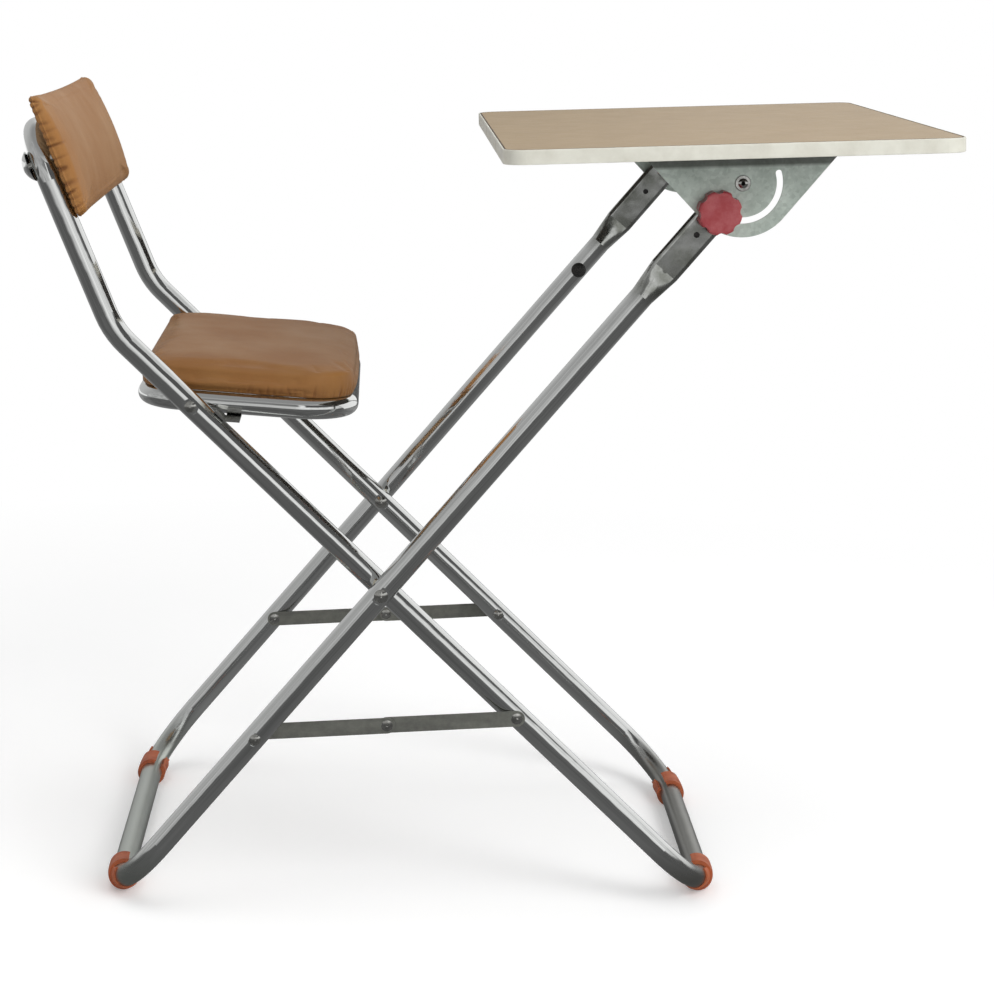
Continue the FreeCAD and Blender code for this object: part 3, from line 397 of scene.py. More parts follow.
# The cloth's move at every point of the fine grid
def clothMove(name, look, profile, shares):
    coarse = padProfile(look, coarseGrid)
    columns = coarseGrid["columns"]
    grid = padGrid(look, (np.arange(columns) + 0.5) / columns, coarse)[0]
    held = coarse["onBoard"] | (coarse["height"] < clothRun["heldBelow"])
    move, largest = swelled(look, grid, held)
    print(name, "cloth moved at most", round(float(largest) * 1000, 2), "mm")
    coarseAt, fineAt = rowTravel(coarse), rowTravel(profile)
    station = np.interp(fineAt / fineAt[-1], coarseAt / coarseAt[-1], np.linspace(0, 1, len(coarseAt)))
    rowWeights = hatWeights(station, len(coarseAt), False)
    columnWeights = hatWeights(shares - 0.5 / columns, columns, True)
    return np.einsum("rc,cks,fk->rfs", rowWeights, move, columnWeights)


def makePad(name, look, node, body, folds):
    profile = padProfile(look, fineGrid)
    shares = (np.arange(fineGrid["columns"]) + 0.5) / fineGrid["columns"]
    grid, length = padGrid(look, shares, profile)
    points = padToFrame(look, grid)
    points = points + clothMove(name, look, profile, shares)
    depth, fold = folds(look, grid, length, shares, profile)
    # folds sink along the surface's own normal
    acrossRows = np.gradient(points, axis=0)
    aroundColumns = np.roll(points, -1, axis=1) - np.roll(points, 1, axis=1)
    normals = np.cross(acrossRows, aroundColumns)
    normals /= np.maximum(np.linalg.norm(normals, axis=-1, keepdims=True), 1e-12)
    middle = points.mean(axis=(0, 1))
    if np.einsum("ijk,ijk->ij", normals, points - middle).mean() < 0:
        normals = -normals
    points = points - normals * depth[..., None] / 1000
    made = bandMesh(name, points, points[0].mean(axis=0), points[-1].mean(axis=0))
    # the fold share goes to the vinyl's finish, which paints shade into the gathers
    attribute = made.data.attributes.new("fold", "FLOAT", "POINT")
    attribute.data.foreach_set("value", np.concatenate([fold.ravel(), [0, 0]]).astype(np.float32))
    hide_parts(node)
    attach(made, body)
    return made


# Narrow valleys across the side at the given places, with a bell curve as their section, and each with a
# chance lean, depth, half width and reach
def gathers(chance, look, position, height, places):
    lean, depths, widths, reach = (chance.uniform(*look[key], len(places))
                                   for key in ("lean", "depths", "widths", "reach"))
    fade = np.clip(1 - (height[..., None] / reach) ** look["fadePower"], 0, 1)
    apart = position[..., None] - places - lean * height[..., None]
    return (depths * fade * np.exp(-0.5 * (apart / widths) ** 2)).sum(axis=-1)


# The same without lean or reach, measured the shorter way round
def darts(chance, look, position, length, places):
    depths, widths = (chance.uniform(*look[key], len(places)) for key in ("depths", "widths"))
    apart = position[..., None] - places
    apart = apart - length * np.round(apart / length)
    return (depths * np.exp(-0.5 * (apart / widths) ** 2)).sum(axis=-1)


# Folds lie on the skin below the crowned top
def onSide(profile):
    return (~profile["onBoard"] & (profile["shrink"] == 1))[:, None]


seatGathers = {"start": 0.4, "spacing": (2.4, 6.5), "count": 40, "endGap": 3.0, "lean": (-8.1, 8.1),
               "depths": (0.15, 0.75), "widths": (0.55, 1.3), "reach": (0.22, 0.58), "fadePower": 2}
seatDarts = {"rear": (14, 4), "front": (24, 6), "shift": 2.0, "depths": (0.3, 0.8), "widths": (0.9, 1.8),
             "reach": 0.8, "fadePower": 1.3}
seatWear = {"depth": 0.35, "waves": (19.0, 31.0, 37.0), "bend": 0.6, "phase": 1.1, "from": 0.97,
            "rimPower": 6, "clearLow": 0.07, "creaseDepth": 1.2}


# The seat's cover gathers where it is tucked under: fine pleats low along each side, and longer darts
# over the four corners
def seatFolds(look, grid, length, shares, profile):
    chance = np.random.default_rng(look["seed"])
    position = np.broadcast_to(shares * length, grid.shape[:2])
    height = profile["height"][:, None]
    quarter = math.pi / 2
    sideLength = look["front"] - look["rear"] - look["rearCorner"] - look["frontCorner"]
    rearArc = look["halfWidth"] - look["rearCorner"]
    sideStart = rearArc + quarter * look["rearCorner"]
    frontArc = sideStart + sideLength
    frontStart = frontArc + quarter * look["frontCorner"]
    total = np.zeros(grid.shape[:2])
    for mirrored in (False, True):
        steps = chance.uniform(*seatGathers["spacing"], seatGathers["count"])
        places = sideStart + sideLength * seatGathers["start"] + np.cumsum(steps)
        places = places[places < frontStart - seatGathers["endGap"]]
        if mirrored:
            places = length - places
        total = total + gathers(chance, seatGathers, position, height, places)
    fade = np.clip(1 - height / seatDarts["reach"], 0, 1) ** seatDarts["fadePower"]
    for middle, (spread, count) in ((rearArc + quarter * look["rearCorner"] / 2, seatDarts["rear"]),
                                    (frontArc + quarter * look["frontCorner"] / 2, seatDarts["front"])):
        for centre in (middle, length - middle):
            shift = chance.uniform(-seatDarts["shift"], seatDarts["shift"], count)
            places = centre + np.linspace(-spread, spread, count) + shift
            total = total + darts(chance, seatDarts, position, length, places) * fade
    total = total * np.clip(height / seatWear["clearLow"], 0, 1)
    fold = np.where(onSide(profile), total, 0)
    # the top is faintly uneven from use: a sine of the place along, bent by one across, times a sine across
    along, across = grid[..., 0], grid[..., 1]
    alongWave, bendWave, acrossWave = seatWear["waves"]
    bent = along / alongWave + seatWear["bend"] * np.sin(across / bendWave)
    worn = np.sin(bent) * np.sin(across / acrossWave + seatWear["phase"])
    onTop = np.clip((height - seatWear["from"]) / (1 - seatWear["from"]), 0, 1)
    onTop = onTop * (1 - profile["shrink"] ** seatWear["rimPower"])[:, None]
    return fold + seatWear["depth"] * worn * onTop, np.clip(fold / seatWear["creaseDepth"], 0, 1)


padGathers = {"count": 15, "endGap": 2.0, "shift": 2.4, "cornerShare": 0.3, "lean": (-4.5, 3.5),
              "depths": (0.8, 2.0), "widths": (0.7, 1.5), "reach": (0.75, 1.25), "fadePower": 3,
              "creaseDepth": 1.5}


# The pad's cover is gathered along both short ends, between the board and the front
def padFolds(look, grid, length, shares, profile):
    chance = np.random.default_rng(look["seed"])
    position = np.broadcast_to(shares * length, grid.shape[:2])
    height = profile["height"][:, None]
    quarter, count = math.pi / 2, padGathers["count"]
    rearArc = look["halfWidth"] - look["rearCorner"]
    sideLength = look["front"] - look["rear"] - 2 * look["rearCorner"]
    start = rearArc + padGathers["cornerShare"] * quarter * look["rearCorner"]
    beyond = (1 - padGathers["cornerShare"]) * quarter * look["frontCorner"]
    end = rearArc + quarter * look["rearCorner"] + sideLength + beyond
    total = np.zeros(grid.shape[:2])
    for mirrored in (False, True):
        places = np.linspace(start + padGathers["endGap"], end - padGathers["endGap"], count)
        places = places + chance.uniform(-padGathers["shift"], padGathers["shift"], count)
        if mirrored:
            places = length - places
        total = total + gathers(chance, padGathers, position, height, places)
    fold = np.where(onSide(profile), total, 0)
    return fold, np.clip(fold / padGathers["creaseDepth"], 0, 1)


seatCushion = makePad("seatCushion", seatLook, "seat_cushion", "seat", seatFolds)
backrestPad = makePad("backrestPad", padLook, "backrest_pad", "chair_frame", padFolds)
print("upholstery made")


# The dark joint between the laminate and its edge band
seamLook = {"origin": (0.212658, 0.651065), "turnDeg": 3.8, "rear": -198.3, "front": 174.7,
            "halfWidth": 247.8, "corner": 15.8, "level": 36.6, "wide": 0.7, "thick": 0.16, "columns": 640,
            "around": 8}


# A bead with an oval section, carried round the laminate's outline
def makeSeam(look):
    columns, around = look["columns"], look["around"]
    outline, outward = roundedOutline(np.arange(columns) / columns, look["rear"], look["front"],
                                      look["halfWidth"], look["corner"], look["corner"])[:2]
    angle = np.linspace(0, 2 * math.pi, around, endpoint=False)
    plan = outline[None] + (look["wide"] * np.cos(angle))[:, None, None] * outward[None]
    level = look["level"] + np.broadcast_to((look["thick"] * np.sin(angle))[:, None], plan.shape[:2])
    points = toFrame(look, plan[..., 0], plan[..., 1], level).reshape(-1, 3)
    index = np.arange(around * columns).reshape(around, columns)
    right, above = np.roll(index, -1, axis=1), np.roll(index, -1, axis=0)
    faces = np.stack([index, right, np.roll(right, -1, axis=0), above], axis=-1).reshape(-1, 4)
    mesh = bpy.data.meshes.new("laminateSeam")
    mesh.from_pydata(points.tolist(), [], faces.tolist())
    mesh.shade_smooth()
    made = placed("laminateSeam", mesh)
    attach(made, "desktop")
    return made


laminateSeam = makeSeam(seamLook)


# The desk's tubes rise from the crossing along this lean. Dark plugs fill the spare holes below the knobs
# as painted shade, where the open holes show only shade, and the rim is half of a plug's profile, as shares
# of its radius and of its reach.
deskTube = {"crossing": (-0.074943, 0.0, 0.2895), "leanDeg": 51.5}
shadePlugLook = {"along": 405.0, "side": 189.5, "radius": 2.47, "reach": 3.1, "dish": 0.5, "columns": 28,
            "rim": ((0.3, 1.0), (0.6, 1.0), (0.85, 1.0), (0.97, 0.93), (1.0, 0.85), (1.0, 0.0))}


# Each plug is a rod across the tube's end, rounded at both rims and dished by a square towards the rim
def makeShadePlugs(look, tube):
    lean = math.radians(tube["leanDeg"])
    east = tube["crossing"][0] + look["along"] / 1000 * math.cos(lean)
    up = tube["crossing"][2] + look["along"] / 1000 * math.sin(lean)
    angle = np.linspace(0, 2 * math.pi, look["columns"], endpoint=False)
    half = np.array(look["rim"])
    profile = np.concatenate([half * (1, -1), half[-2::-1]])
    radius = profile[:, :1] * look["radius"] / 1000
    dished = profile[:, 1:] * (look["reach"] - look["dish"] * (1 - profile[:, :1] ** 2))
    deepest = look["reach"] - look["dish"]
    shadePlugs = []
    for name, side in (("holeShadePlugNear", -1), ("holeShadePlugFar", 1)):
        middle = side * look["side"]
        across = np.broadcast_to((middle + dished) / 1000, (len(profile), len(angle)))
        rows = np.stack([east + radius * np.cos(angle), across, up + radius * np.sin(angle)], axis=-1)
        ends = [(east, (middle + sign * deepest) / 1000, up) for sign in (-1, 1)]
        shadePlug = bandMesh(name, rows, ends[0], ends[1])
        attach(shadePlug, "desk_frame")
        shadePlugs.append(shadePlug)
    return shadePlugs


# painted shade: dark pieces in the spare holes
holeShadePlugs = makeShadePlugs(shadePlugLook, deskTube)


# In the finishes a texture is its scale, detail and roughness, a range is the two values between which a
# share goes from nothing to all, a bump is its strength and its height in metres, and a pair under
# roughness goes with the roughRange.
chromeLook = {
    "colour": (0.73, 0.74, 0.73, 1), "roughness": 0.07,
    "patches": (16, 4, 0.6), "patchRange": (0.45, 0.75), "scuffs": (240, 3, 0.6), "scuffRange": (0.35, 0.7),
    "dullRoughness": 0.2, "waves": (34, 2, 0.4), "waveBump": (0.11, 0.004), "scuffBump": (0.015, 0.0003),
    "speckScale": 420, "speckRange": (0.10, 0.04), "speckAreas": (55, 2), "speckAreaRange": (0.62, 0.66),
    "speckColour": paint(70, 62, 50), "speckRoughness": 0.5,
    # near the floor the tube is dusty, and its two colours there are also a painted reflection: paler on the
    # desk's side, darker on the chair's
    "floorRange": (0.06, 0.022), "floorRoughness": 0.34, "dustAndReflectionRange": (-0.1, 0.1),
    "deskDustAndPaintedReflection": (0.55, 0.58, 0.54, 1), "chairDustAndPaintedShade": (0.33, 0.33, 0.31, 1),
    "pressedRange": (0.322, 0.348), "pressedPatches": (60, 4, 0.6), "unevenRange": (0.36, 0.62),
    # the pressed ends' colour is painted shade; their roughness is the real duller finish
    "unevenShare": (0.45, 1), "pressedShadeColour": (0.30, 0.31, 0.28, 1), "pressedRoughness": 0.24,
}


# Plated tube: bright with soft waves, dull patches from handling and pin-prick rust, dusty near the floor,
# where a painted reflection also makes the desk's bars paler and the chair's darker, and duller on the
# desk tubes' pressed ends, which painted shade darkens
def chromeFinish(look, tube):
    material, tree, shader = freshMaterial("wornChrome")
    where = onObject(tree)
    place = addNode(tree, "ShaderNodeSeparateXYZ", {0: where}).outputs
    scuffs = noise(tree, where, *look["scuffs"])
    specks = remap(tree, voronoi(tree, where, look["speckScale"]), *look["speckRange"])
    rusty = product(tree, specks, noiseShare(tree, where, look["speckAreas"], look["speckAreaRange"]))
    dull = product(tree, noiseShare(tree, where, look["patches"], look["patchRange"]),
                   remap(tree, scuffs, *look["scuffRange"]))
    dustAndReflectionShare = remap(tree, place["Z"], *look["floorRange"])
    # dust near the floor, with painted reflection: paler towards the desk's side and darker towards the
    # chair's
    dustAndPaintedReflection = shaded(tree, place["X"], look["dustAndReflectionRange"], look["deskDustAndPaintedReflection"], look["chairDustAndPaintedShade"])
    lean = math.radians(tube["leanDeg"])
    along = alongFrom(tree, where, tube["crossing"], (math.cos(lean), 0, math.sin(lean)))
    # the pressed ends are duller, and painted shade darkens their colour
    patches = noise(tree, where, *look["pressedPatches"])
    pressedAndShaded = product(tree, remap(tree, along, *look["pressedRange"]),
                      remap(tree, patches, *look["unevenRange"], *look["unevenShare"]))
    colour = blendColours(tree, dustAndReflectionShare, look["colour"], dustAndPaintedReflection)
    colour = blendColours(tree, pressedAndShaded, colour, look["pressedShadeColour"])
    colour = blendColours(tree, rusty, colour, look["speckColour"])
    rough = arithmetic(tree, "ADD", remap(tree, dull, 0, 1, look["roughness"], look["dullRoughness"]),
                       remap(tree, rusty, 0, 1, 0, look["speckRoughness"]))
    rough = blendValues(tree, dustAndReflectionShare, rough, look["floorRoughness"])
    rough = blendValues(tree, pressedAndShaded, rough, look["pressedRoughness"])
    waves = bump(tree, noise(tree, where, *look["waves"]), *look["waveBump"])
    coat(tree, shader, colour, rough, bump(tree, scuffs, *look["scuffBump"], waves), metallic=1)
    return material


sheetLook = {
    "pale": paint(206, 216, 207), "dark": paint(170, 181, 172), "metallic": 0.5, "crystalScale": 330,
    "crystalShare": 0.25, "clouds": (42, 5, 0.65), "cloudShare": 0.9, "toneRange": (0.35, 0.85),
    "roughRange": (0.3, 0.7), "roughness": (0.57, 0.37), "grainStretch": (1, 1, 14), "grain": (160, 3, 0.6),
    # the dark colour and its two shares below are painted shade: a strip under the board's overhang and a
    # ring round the pivot's head
    "grainBump": (0.12, 0.0004), "paintedShadeColour": paint(52, 50, 44), "pivot": (0.212658, 0.0, 0.651065),
    "tiltDeg": 3.8, "boardRange": (0.0125, 0.0155), "boardShade": 0.75, "headRange": (0.0062, 0.0072),
    "headShade": 0.8,
}


# Galvanised sheet: cloudy zinc with flat crystals and a brushed grain, and painted shade under the board
# and round the pivot's head
def sheetFinish(look):
    material, tree, shader = freshMaterial("galvanisedSheet")
    where = onObject(tree)
    cells = addNode(tree, "ShaderNodeTexVoronoi", {"Vector": where, "Scale": look["crystalScale"]})
    crystals = addNode(tree, "ShaderNodeSeparateColor", {"Color": cells.outputs["Color"]}).outputs[0]
    clouds = noise(tree, where, *look["clouds"])
    tone = weighted(tree, crystals, look["crystalShare"], clouds, look["cloudShare"])
    turn = math.radians(look["tiltDeg"])
    level = alongFrom(tree, where, look["pivot"], (-math.sin(turn), 0, math.cos(turn)))
    away = awayFromAxis(tree, where, look["pivot"])
    # painted shade: a dark strip under the board and a dark ring round the pivot's head
    paintedShade = arithmetic(tree, "MAXIMUM", remap(tree, level, *look["boardRange"], 0, look["boardShade"]),
                       remap(tree, away, *look["headRange"], look["headShade"], 0))
    mottled = shaded(tree, tone, look["toneRange"], look["dark"], look["pale"])
    fine = noise(tree, onObject(tree, look["grainStretch"]), *look["grain"])
    coat(tree, shader, blendColours(tree, paintedShade, mottled, look["paintedShadeColour"]),
         remap(tree, clouds, *look["roughRange"], *look["roughness"]),
         bump(tree, arithmetic(tree, "ADD", fine, crystals), *look["grainBump"]), look["metallic"])
    return material


steelLooks = {
    "headedSteel": {"pale": paint(214, 214, 210), "dark": paint(160, 159, 154), "roughness": (0.28, 0.10),
                    "metallic": 1.0, "stretch": (1, 1, 1)},
    "rolledStrip": {"pale": paint(118, 119, 112), "dark": paint(94, 95, 90), "roughness": (0.52, 0.34),
                    "metallic": 0.35, "stretch": (0.15, 1, 1)},
}
steelMarks = {"streaks": (90, 4, 0.6), "streakShare": 0.5, "marks": (130, 5, 0.7), "markShare": 0.5,
              "toneRange": (0.36, 0.62), "roughRange": (0.35, 0.65), "bump": (0.15, 0.0004),
              # the hole colour is painted shade inside the hollow rivets
              "holeRange": (0.0019, 0.0016), "holeShadeColour": paint(16, 15, 13)}


# Rolled strip or headed steel: streaked along its length, with darker marks, and painted shade inside
# the hollow tilt rivets
def steelFinish(name):
    material, tree, shader = freshMaterial(name)
    look, marks = steelLooks[name], steelMarks
    where = onObject(tree)
    streaks = noise(tree, onObject(tree, look["stretch"]), *marks["streaks"])
    spots = noise(tree, where, *marks["marks"])
    tone = weighted(tree, streaks, marks["streakShare"], spots, marks["markShare"])
    # painted shade inside the rivet's bore
    inside = remap(tree, awayFromAxis(tree, where, sheetLook["pivot"]), *marks["holeRange"])
    toned = shaded(tree, tone, marks["toneRange"], look["dark"], look["pale"])
    coat(tree, shader, blendColours(tree, inside, toned, marks["holeShadeColour"]),
         remap(tree, tone, *marks["roughRange"], *look["roughness"]), bump(tree, tone, *marks["bump"]),
         look["metallic"])
    return material


vinylLooks = {
    # each third colour is painted shade inside the gathers
    "seatVinyl": {"colour": paint(127, 84, 38), "worn": paint(134, 94, 48), "creaseShadeColour": paint(98, 55, 20)},
    # painted light: the pad's vinyl is the seat's made paler, for the stronger light on the pad's front
    "padVinylPaintedLight": {"colour": paint(143, 97, 47), "worn": paint(151, 108, 60), "creaseShadeColour": paint(104, 60, 22)},
}
vinylGrain = {"clouds": (14, 4, 0.55), "toneRange": (0.36, 0.68), "creaseRange": (0.1, 0.9),
              "creaseShadeShare": 0.75, "roughRange": (0.3, 0.7), "roughness": (0.56, 0.44), "sheen": 0.4,
              "pebbleScale": 1150, "pebbleBump": (0.35, 0.0003), "wrinkles": (210, 4, 0.6, 0.4),
              "wrinkleBump": (0.12, 0.0012)}


# Grained vinyl: tiny pebbles, rubbed paler in clouds, and darker inside its gathers from painted shade
def vinylFinish(name):
    material, tree, shader = freshMaterial(name)
    look, grain = vinylLooks[name], vinylGrain
    where = onObject(tree)
    clouds = noise(tree, where, *grain["clouds"])
    fold = addNode(tree, "ShaderNodeAttribute", attribute_name="fold").outputs["Fac"]
    # painted shade in the gathers, by the fold share
    creaseShade = remap(tree, fold, *grain["creaseRange"], 0, grain["creaseShadeShare"])
    cloudy = shaded(tree, clouds, grain["toneRange"], look["colour"], look["worn"])
    pebbles = bump(tree, voronoi(tree, where, grain["pebbleScale"], "SMOOTH_F1"), *grain["pebbleBump"])
    wrinkles = noise(tree, where, *grain["wrinkles"])
    coat(tree, shader, blendColours(tree, creaseShade, cloudy, look["creaseShadeColour"]),
         remap(tree, clouds, *grain["roughRange"], *grain["roughness"]),
         bump(tree, wrinkles, *grain["wrinkleBump"], pebbles), specular=grain["sheen"])
    return material


laminateLook = {
    "colour": paint(157, 134, 98), "second": paint(148, 124, 88), "clouds": (26, 6, 0.65), "cloudShare": 0.75,
    "fleckStretch": (1, 0.25, 1), "flecks": (700, 2, 0.6), "fleckShare": 0.25, "toneRange": (0.36, 0.64),
    "scratchStretch": (1, 30, 1), "scratchTurn": (0, 0, 0.5), "scratches": (60, 3, 0.7),
    "roughRange": (0.35, 0.7), "roughness": (0.37, 0.54), "bump": (0.05, 0.0002),
}


# Tan laminate: faint mottled print under a matt film with fine scratches
def laminateFinish(look):
    material, tree, shader = freshMaterial("tanLaminate")
    clouds = noise(tree, onObject(tree), *look["clouds"])
    flecks = noise(tree, onObject(tree, look["fleckStretch"]), *look["flecks"])
    tone = weighted(tree, clouds, look["cloudShare"], flecks, look["fleckShare"])
    scratches = noise(tree, onObject(tree, look["scratchStretch"], look["scratchTurn"]), *look["scratches"])
    coat(tree, shader, shaded(tree, tone, look["toneRange"], look["second"], look["colour"]),
         remap(tree, scratches, *look["roughRange"], *look["roughness"]), bump(tree, flecks, *look["bump"]))
    return material


plasticLooks = {
    "creamEdging": {"colour": paint(206, 205, 194), "second": paint(192, 190, 178), "roughness": (0.34, 0.52),
                    "scales": (40, 500)},
    "redKnob": {"colour": paint(141, 50, 55), "second": paint(157, 78, 81), "roughness": (0.30, 0.48),
                "scales": (120, 900)},
    "brickFoot": {"colour": paint(176, 94, 56), "second": paint(154, 76, 46), "roughness": (0.44, 0.62),
                  "scales": (70, 700)},
    "blackRubber": {"colour": paint(30, 30, 29), "second": paint(48, 47, 45), "roughness": (0.49, 0.67),
                    "scales": (150, 900)},
    "nylonWasher": {"colour": paint(214, 208, 190), "second": paint(188, 180, 160), "roughness": (0.44, 0.62),
                    "scales": (180, 900)},
    "seamShadow": {"colour": paint(86, 70, 52), "second": paint(60, 48, 36), "roughness": (0.64, 0.82),
                   "scales": (90, 900)},
}
plasticSkin = {"tones": (5, 0.6), "toneRange": (0.4, 0.68), "roughRange": (0.3, 0.7), "grain": (3, 0.6),
               "bump": (0.08, 0.0004)}


# Moulded plastic: two close tones, a fine skin texture and rubbed patches
def plasticFinish(name):
    material, tree, shader = freshMaterial(name)
    look, skin = plasticLooks[name], plasticSkin
    where = onObject(tree)
    toneScale, grainScale = look["scales"]
    tones = noise(tree, where, toneScale, *skin["tones"])
    grain = noise(tree, where, grainScale, *skin["grain"])
    coat(tree, shader, shaded(tree, tones, skin["toneRange"], look["colour"], look["second"]),
         remap(tree, tones, *skin["roughRange"], *look["roughness"]), bump(tree, grain, *skin["bump"]))
    return material


boardLooks = {
    "plywoodBoard": {"pale": paint(176, 140, 98), "dark": paint(136, 100, 64), "stretch": (1, 9, 1),
                     "scale": 55},
    # the chipboard's dark colours are painted shade: the desk's underside is made dark because it lies in
    # shade
    "chipBoardPaintedShade": {"pale": paint(66, 59, 50), "dark": paint(54, 48, 41), "stretch": (1, 1, 1), "scale": 260},
}
boardGrain = {"streaks": (6, 0.65, 0.8), "toneRange": (0.34, 0.66), "roughness": 0.7, "bump": (0.25, 0.0006)}


# Wood board: streaks along the grain, or chips where nothing is stretched
def boardFinish(name):
    material, tree, shader = freshMaterial(name)
    look, grain = boardLooks[name], boardGrain
    streaks = noise(tree, onObject(tree, look["stretch"]), look["scale"], *grain["streaks"])
    coat(tree, shader, shaded(tree, streaks, grain["toneRange"], look["dark"], look["pale"]),
         grain["roughness"], bump(tree, streaks, *grain["bump"]))
    return material


finishes = {
    "chrome": chromeFinish(chromeLook, deskTube),
    "rivet_steel": steelFinish("headedSteel"),
    "stay_steel": steelFinish("rolledStrip"),
    "galvanised": sheetFinish(sheetLook),
    "vinyl": vinylFinish("seatVinyl"),
    "plywood": boardFinish("plywoodBoard"),
    "chipboard": boardFinish("chipBoardPaintedShade"),
    "laminate": laminateFinish(laminateLook),
    "edging": plasticFinish("creamEdging"),
    "knob_plastic": plasticFinish("redKnob"),
    "foot_plastic": plasticFinish("brickFoot"),
    "rubber": plasticFinish("blackRubber"),
    "nylon": plasticFinish("nylonWasher"),
}
slotOf = {part["node"]: part["material_slot"] for part in frame["record"]["subparts"]}


def dress(piece, material):
    piece.data.materials.clear()
    piece.data.materials.append(material)


for nodeName, node in cadNodes.items():
    dress(node, finishes[slotOf[nodeName]])
dress(seatCushion, finishes["vinyl"])
# the pad gets the paler copy of the vinyl, which is painted light
dress(backrestPad, vinylFinish("padVinylPaintedLight"))
dress(laminateSeam, plasticFinish("seamShadow"))
# the dark plugs are painted shade in the spare holes
for shadePlug in holeShadePlugs:
    dress(shadePlug, finishes["rubber"])
print("finishes given")


floorLook = {"reach": 9.0, "points": 25, "level": -0.0004, "colour": (0.86, 0.86, 0.86, 1), "glow": 0.2,
             "clearRadius": 0.75, "fadeWidth": 0.7}


def seenRays(tree):
    path = addNode(tree, "ShaderNodeLightPath")
    seen = arithmetic(tree, "MAXIMUM", path.outputs["Is Camera Ray"], path.outputs["Is Glossy Ray"])
    return arithmetic(tree, "MAXIMUM", seen, path.outputs["Is Transmission Ray"])


# Pale floor: it keeps the shadow near the object, and is as white as the background further out
def makeFloor(look):
    count = look["points"]
    steps = np.linspace(-look["reach"], look["reach"], count)
    east, north = np.meshgrid(steps, steps, indexing="ij")
    points = np.stack([east, north, np.full_like(east, look["level"])], axis=-1).reshape(-1, 3)
    index = np.arange(count ** 2).reshape(count, count)
    faces = np.stack([index[:-1, :-1], index[1:, :-1], index[1:, 1:], index[:-1, 1:]], axis=-1).reshape(-1, 4)
    mesh = bpy.data.meshes.new("studioFloor")
    mesh.from_pydata(points.tolist(), [], faces.tolist())
    floor = placed("studioFloor", mesh)
    material, tree, shader = freshMaterial("paleFloor")
    tree.nodes.remove(shader)
    where = addNode(tree, "ShaderNodeTexCoord").outputs["Object"]
    distance = addNode(tree, "ShaderNodeVectorMath", {0: where}, operation="LENGTH").outputs["Value"]
    far = remap(tree, distance, look["clearRadius"], look["clearRadius"] + look["fadeWidth"])
    seen = seenRays(tree)
    matt = addNode(tree, "ShaderNodeBsdfDiffuse", {"Color": look["colour"]}).outputs[0]
    glow = addNode(tree, "ShaderNodeEmission", {"Strength": product(tree, seen, look["glow"])}).outputs[0]
    near = addNode(tree, "ShaderNodeAddShader", {0: matt, 1: glow}).outputs[0]
    white = addNode(tree, "ShaderNodeEmission", {"Strength": 1.0}).outputs[0]
    share = product(tree, far, seen)
    mixed = addNode(tree, "ShaderNodeMixShader", {0: share, 1: near, 2: white}).outputs[0]
    feed(tree, tree.nodes["Material Output"].inputs["Surface"], mixed)
    dress(floor, material)


cardLook = {
    "reach": 2.2, "segments": 96, "level": -0.0002, "frontHeight": 2.6, "backHeight": 1.05, "sideHeight": 0.1,
    "frontFrom": 0.12, "frontSpan": 0.3, "backPower": 12, "floorRange": (-0.1, 0.9), "floorDark": 0.12,
    "floorPale": 0.3, "floorEdge": (0.0, 0.02), "sideRange": (-1.2, 0.6), "wallDark": 0.12, "sillLeft": 0.22,
    "sillRight": 0.46, "sillRange": (-0.08, 0.1), "windowLeft": 0.48, "windowRight": 0.86,
    "pelmet": (1.22, 1.42), "topLeft": 0.42, "topRight": 0.1, "lampEast": (0.15, 0.5), "lampUp": (0.95, 2.35),
    "lampSoft": (0.03, 0.05), "backRange": (-0.35, 0.3), "backLeft": 0.44, "backRight": 0.09,
    "wallRange": (-0.5, 0.5), "clouds": (2.6, 4, 0.6), "cloudRange": (0.3, 0.7), "cloudLevels": (0.72, 1.3),
}


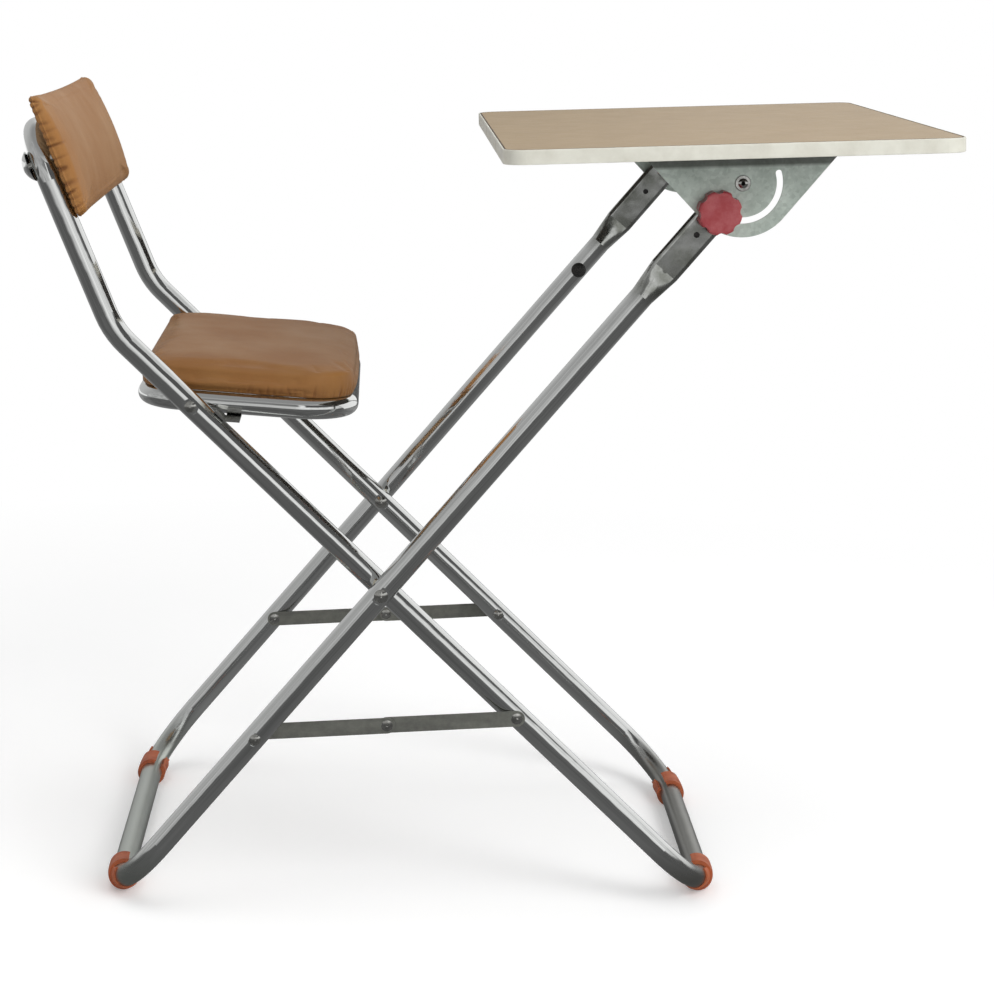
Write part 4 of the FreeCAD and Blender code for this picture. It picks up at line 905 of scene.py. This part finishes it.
# Cards that only glossy rays see, as a studio uses with chrome: one laid under the object, and a wall
# round it, high on the camera's side and with a narrow peak at the back. The front has a dark sill, a
# window with a bright strip in it, and a darker top.
def makeCards(look):
    count = look["segments"]
    angle = np.linspace(0, 2 * math.pi, count + 1)[:-1]
    ring = np.stack([np.cos(angle), np.sin(angle)], axis=-1) * look["reach"]
    front = np.clip((look["frontFrom"] - np.sin(angle)) / look["frontSpan"], 0, 1)
    back = np.clip(np.sin(angle), 0, 1) ** look["backPower"]
    top = np.maximum(np.maximum(front * look["frontHeight"], back * look["backHeight"]), look["sideHeight"])
    rows = [np.column_stack([ring, np.full(count, look["level"])]), np.column_stack([ring, top])]
    index = np.arange(count)
    following = np.roll(index, -1)
    walls = np.stack([index, following, following + count, index + count], axis=-1).tolist()
    mesh = bpy.data.meshes.new("studioCards")
    mesh.from_pydata(np.concatenate(rows).tolist(), [], [index.tolist()] + walls)
    cards = placed("studioCards", mesh)
    material, tree, shader = freshMaterial("studioCards")
    tree.nodes.remove(shader)
    where = onObject(tree)
    place = addNode(tree, "ShaderNodeSeparateXYZ", {0: where})
    east, north, up = (place.outputs[axis] for axis in "XYZ")
    side = remap(tree, east, *look["sideRange"])
    sill = blendValues(tree, side, look["sillLeft"], look["sillRight"])
    overSill = remap(tree, arithmetic(tree, "SUBTRACT", up, sill), *look["sillRange"])
    window = blendValues(tree, side, look["windowLeft"], look["windowRight"])
    high = blendValues(tree, side, look["topLeft"], look["topRight"])
    upper = blendValues(tree, remap(tree, up, *look["pelmet"]), window, high)
    lamp = product(tree, between(tree, east, look["lampEast"], look["lampSoft"][0]),
                   between(tree, up, look["lampUp"], look["lampSoft"][1]))
    front = blendValues(tree, overSill, look["wallDark"], blendValues(tree, lamp, upper, 1.0))
    back = remap(tree, east, *look["backRange"], look["backLeft"], look["backRight"])
    wall = blendValues(tree, remap(tree, north, *look["wallRange"]), front, back)
    laid = remap(tree, north, *look["floorRange"], look["floorDark"], look["floorPale"])
    level = blendValues(tree, remap(tree, up, *look["floorEdge"]), laid, wall)
    uneven = remap(tree, noise(tree, where, *look["clouds"]), *look["cloudRange"], *look["cloudLevels"])
    shade = addNode(tree, "ShaderNodeEmission", {"Strength": product(tree, level, uneven)})
    feed(tree, tree.nodes["Material Output"].inputs["Surface"], shade.outputs[0])
    dress(cards, material)
    cards.visible_camera = cards.visible_diffuse = cards.visible_shadow = False
    cards.visible_transmission = False


worldLook = {"level": 0.62, "left": 0.44, "right": 0.90, "wallRange": (-0.5, 0.5), "backLeft": 0.56,
             "backRight": 1.0, "backRange": (-0.3, 0.3), "behindRange": (0.15, 0.6), "overhead": 0.32,
             "overheadRange": (0.6, 0.85)}


# The room that glossy rays see over the cards: grey at the left, pale at the right and behind, and
# darker overhead
def roomTone(tree, look):
    direction = addNode(tree, "ShaderNodeTexCoord").outputs["Generated"]
    split = addNode(tree, "ShaderNodeSeparateXYZ", {0: direction})
    east, north, up = (split.outputs[axis] for axis in "XYZ")
    walls = remap(tree, east, *look["wallRange"], look["left"], look["right"])
    back = remap(tree, east, *look["backRange"], look["backLeft"], look["backRight"])
    around = blendValues(tree, remap(tree, north, *look["behindRange"]), walls, back)
    return blendValues(tree, remap(tree, up, *look["overheadRange"]), around, look["overhead"])


# The camera sees plain white, glossy rays see the room, and other rays meet an even light
def makeWorld(look):
    world = bpy.data.worlds.new("studioWorld")
    scene.world = world
    world.use_nodes = True
    tree = world.node_tree
    tree.nodes.clear()
    glossy = addNode(tree, "ShaderNodeLightPath").outputs["Is Glossy Ray"]
    reflected = blendValues(tree, glossy, 1.0, roomTone(tree, look))
    level = blendValues(tree, seenRays(tree), look["level"], reflected)
    glow = addNode(tree, "ShaderNodeBackground", {"Color": (1, 1, 1, 1), "Strength": level}).outputs[0]
    addNode(tree, "ShaderNodeOutputWorld", {"Surface": glow})


lampLooks = {
    "topSoftbox": {"place": (0.0, -0.2, 2.6), "aim": (0, 0, 0.3), "size": (2.4, 2.0), "power": 20.0},
    "keySoftbox": {"place": (1.7, -1.9, 1.9), "aim": (0, 0, 0.4), "size": (1.2, 1.6), "power": 46.0},
}


def makeLamp(name, look):
    data = bpy.data.lights.new(name, "AREA")
    data.shape = "RECTANGLE"
    data.size, data.size_y = look["size"]
    data.energy = look["power"]
    lamp = placed(name, data)
    lamp.location = look["place"]
    lamp.rotation_euler = (Vector(look["aim"]) - Vector(look["place"])).to_track_quat("-Z", "Y").to_euler()
    lamp.visible_camera = lamp.visible_glossy = False


makeFloor(floorLook)
makeCards(cardLook)
makeWorld(worldLook)
for lampName, lampLook in lampLooks.items():
    makeLamp(lampName, lampLook)
scene.view_settings.view_transform = "Standard"
print("studio lit")
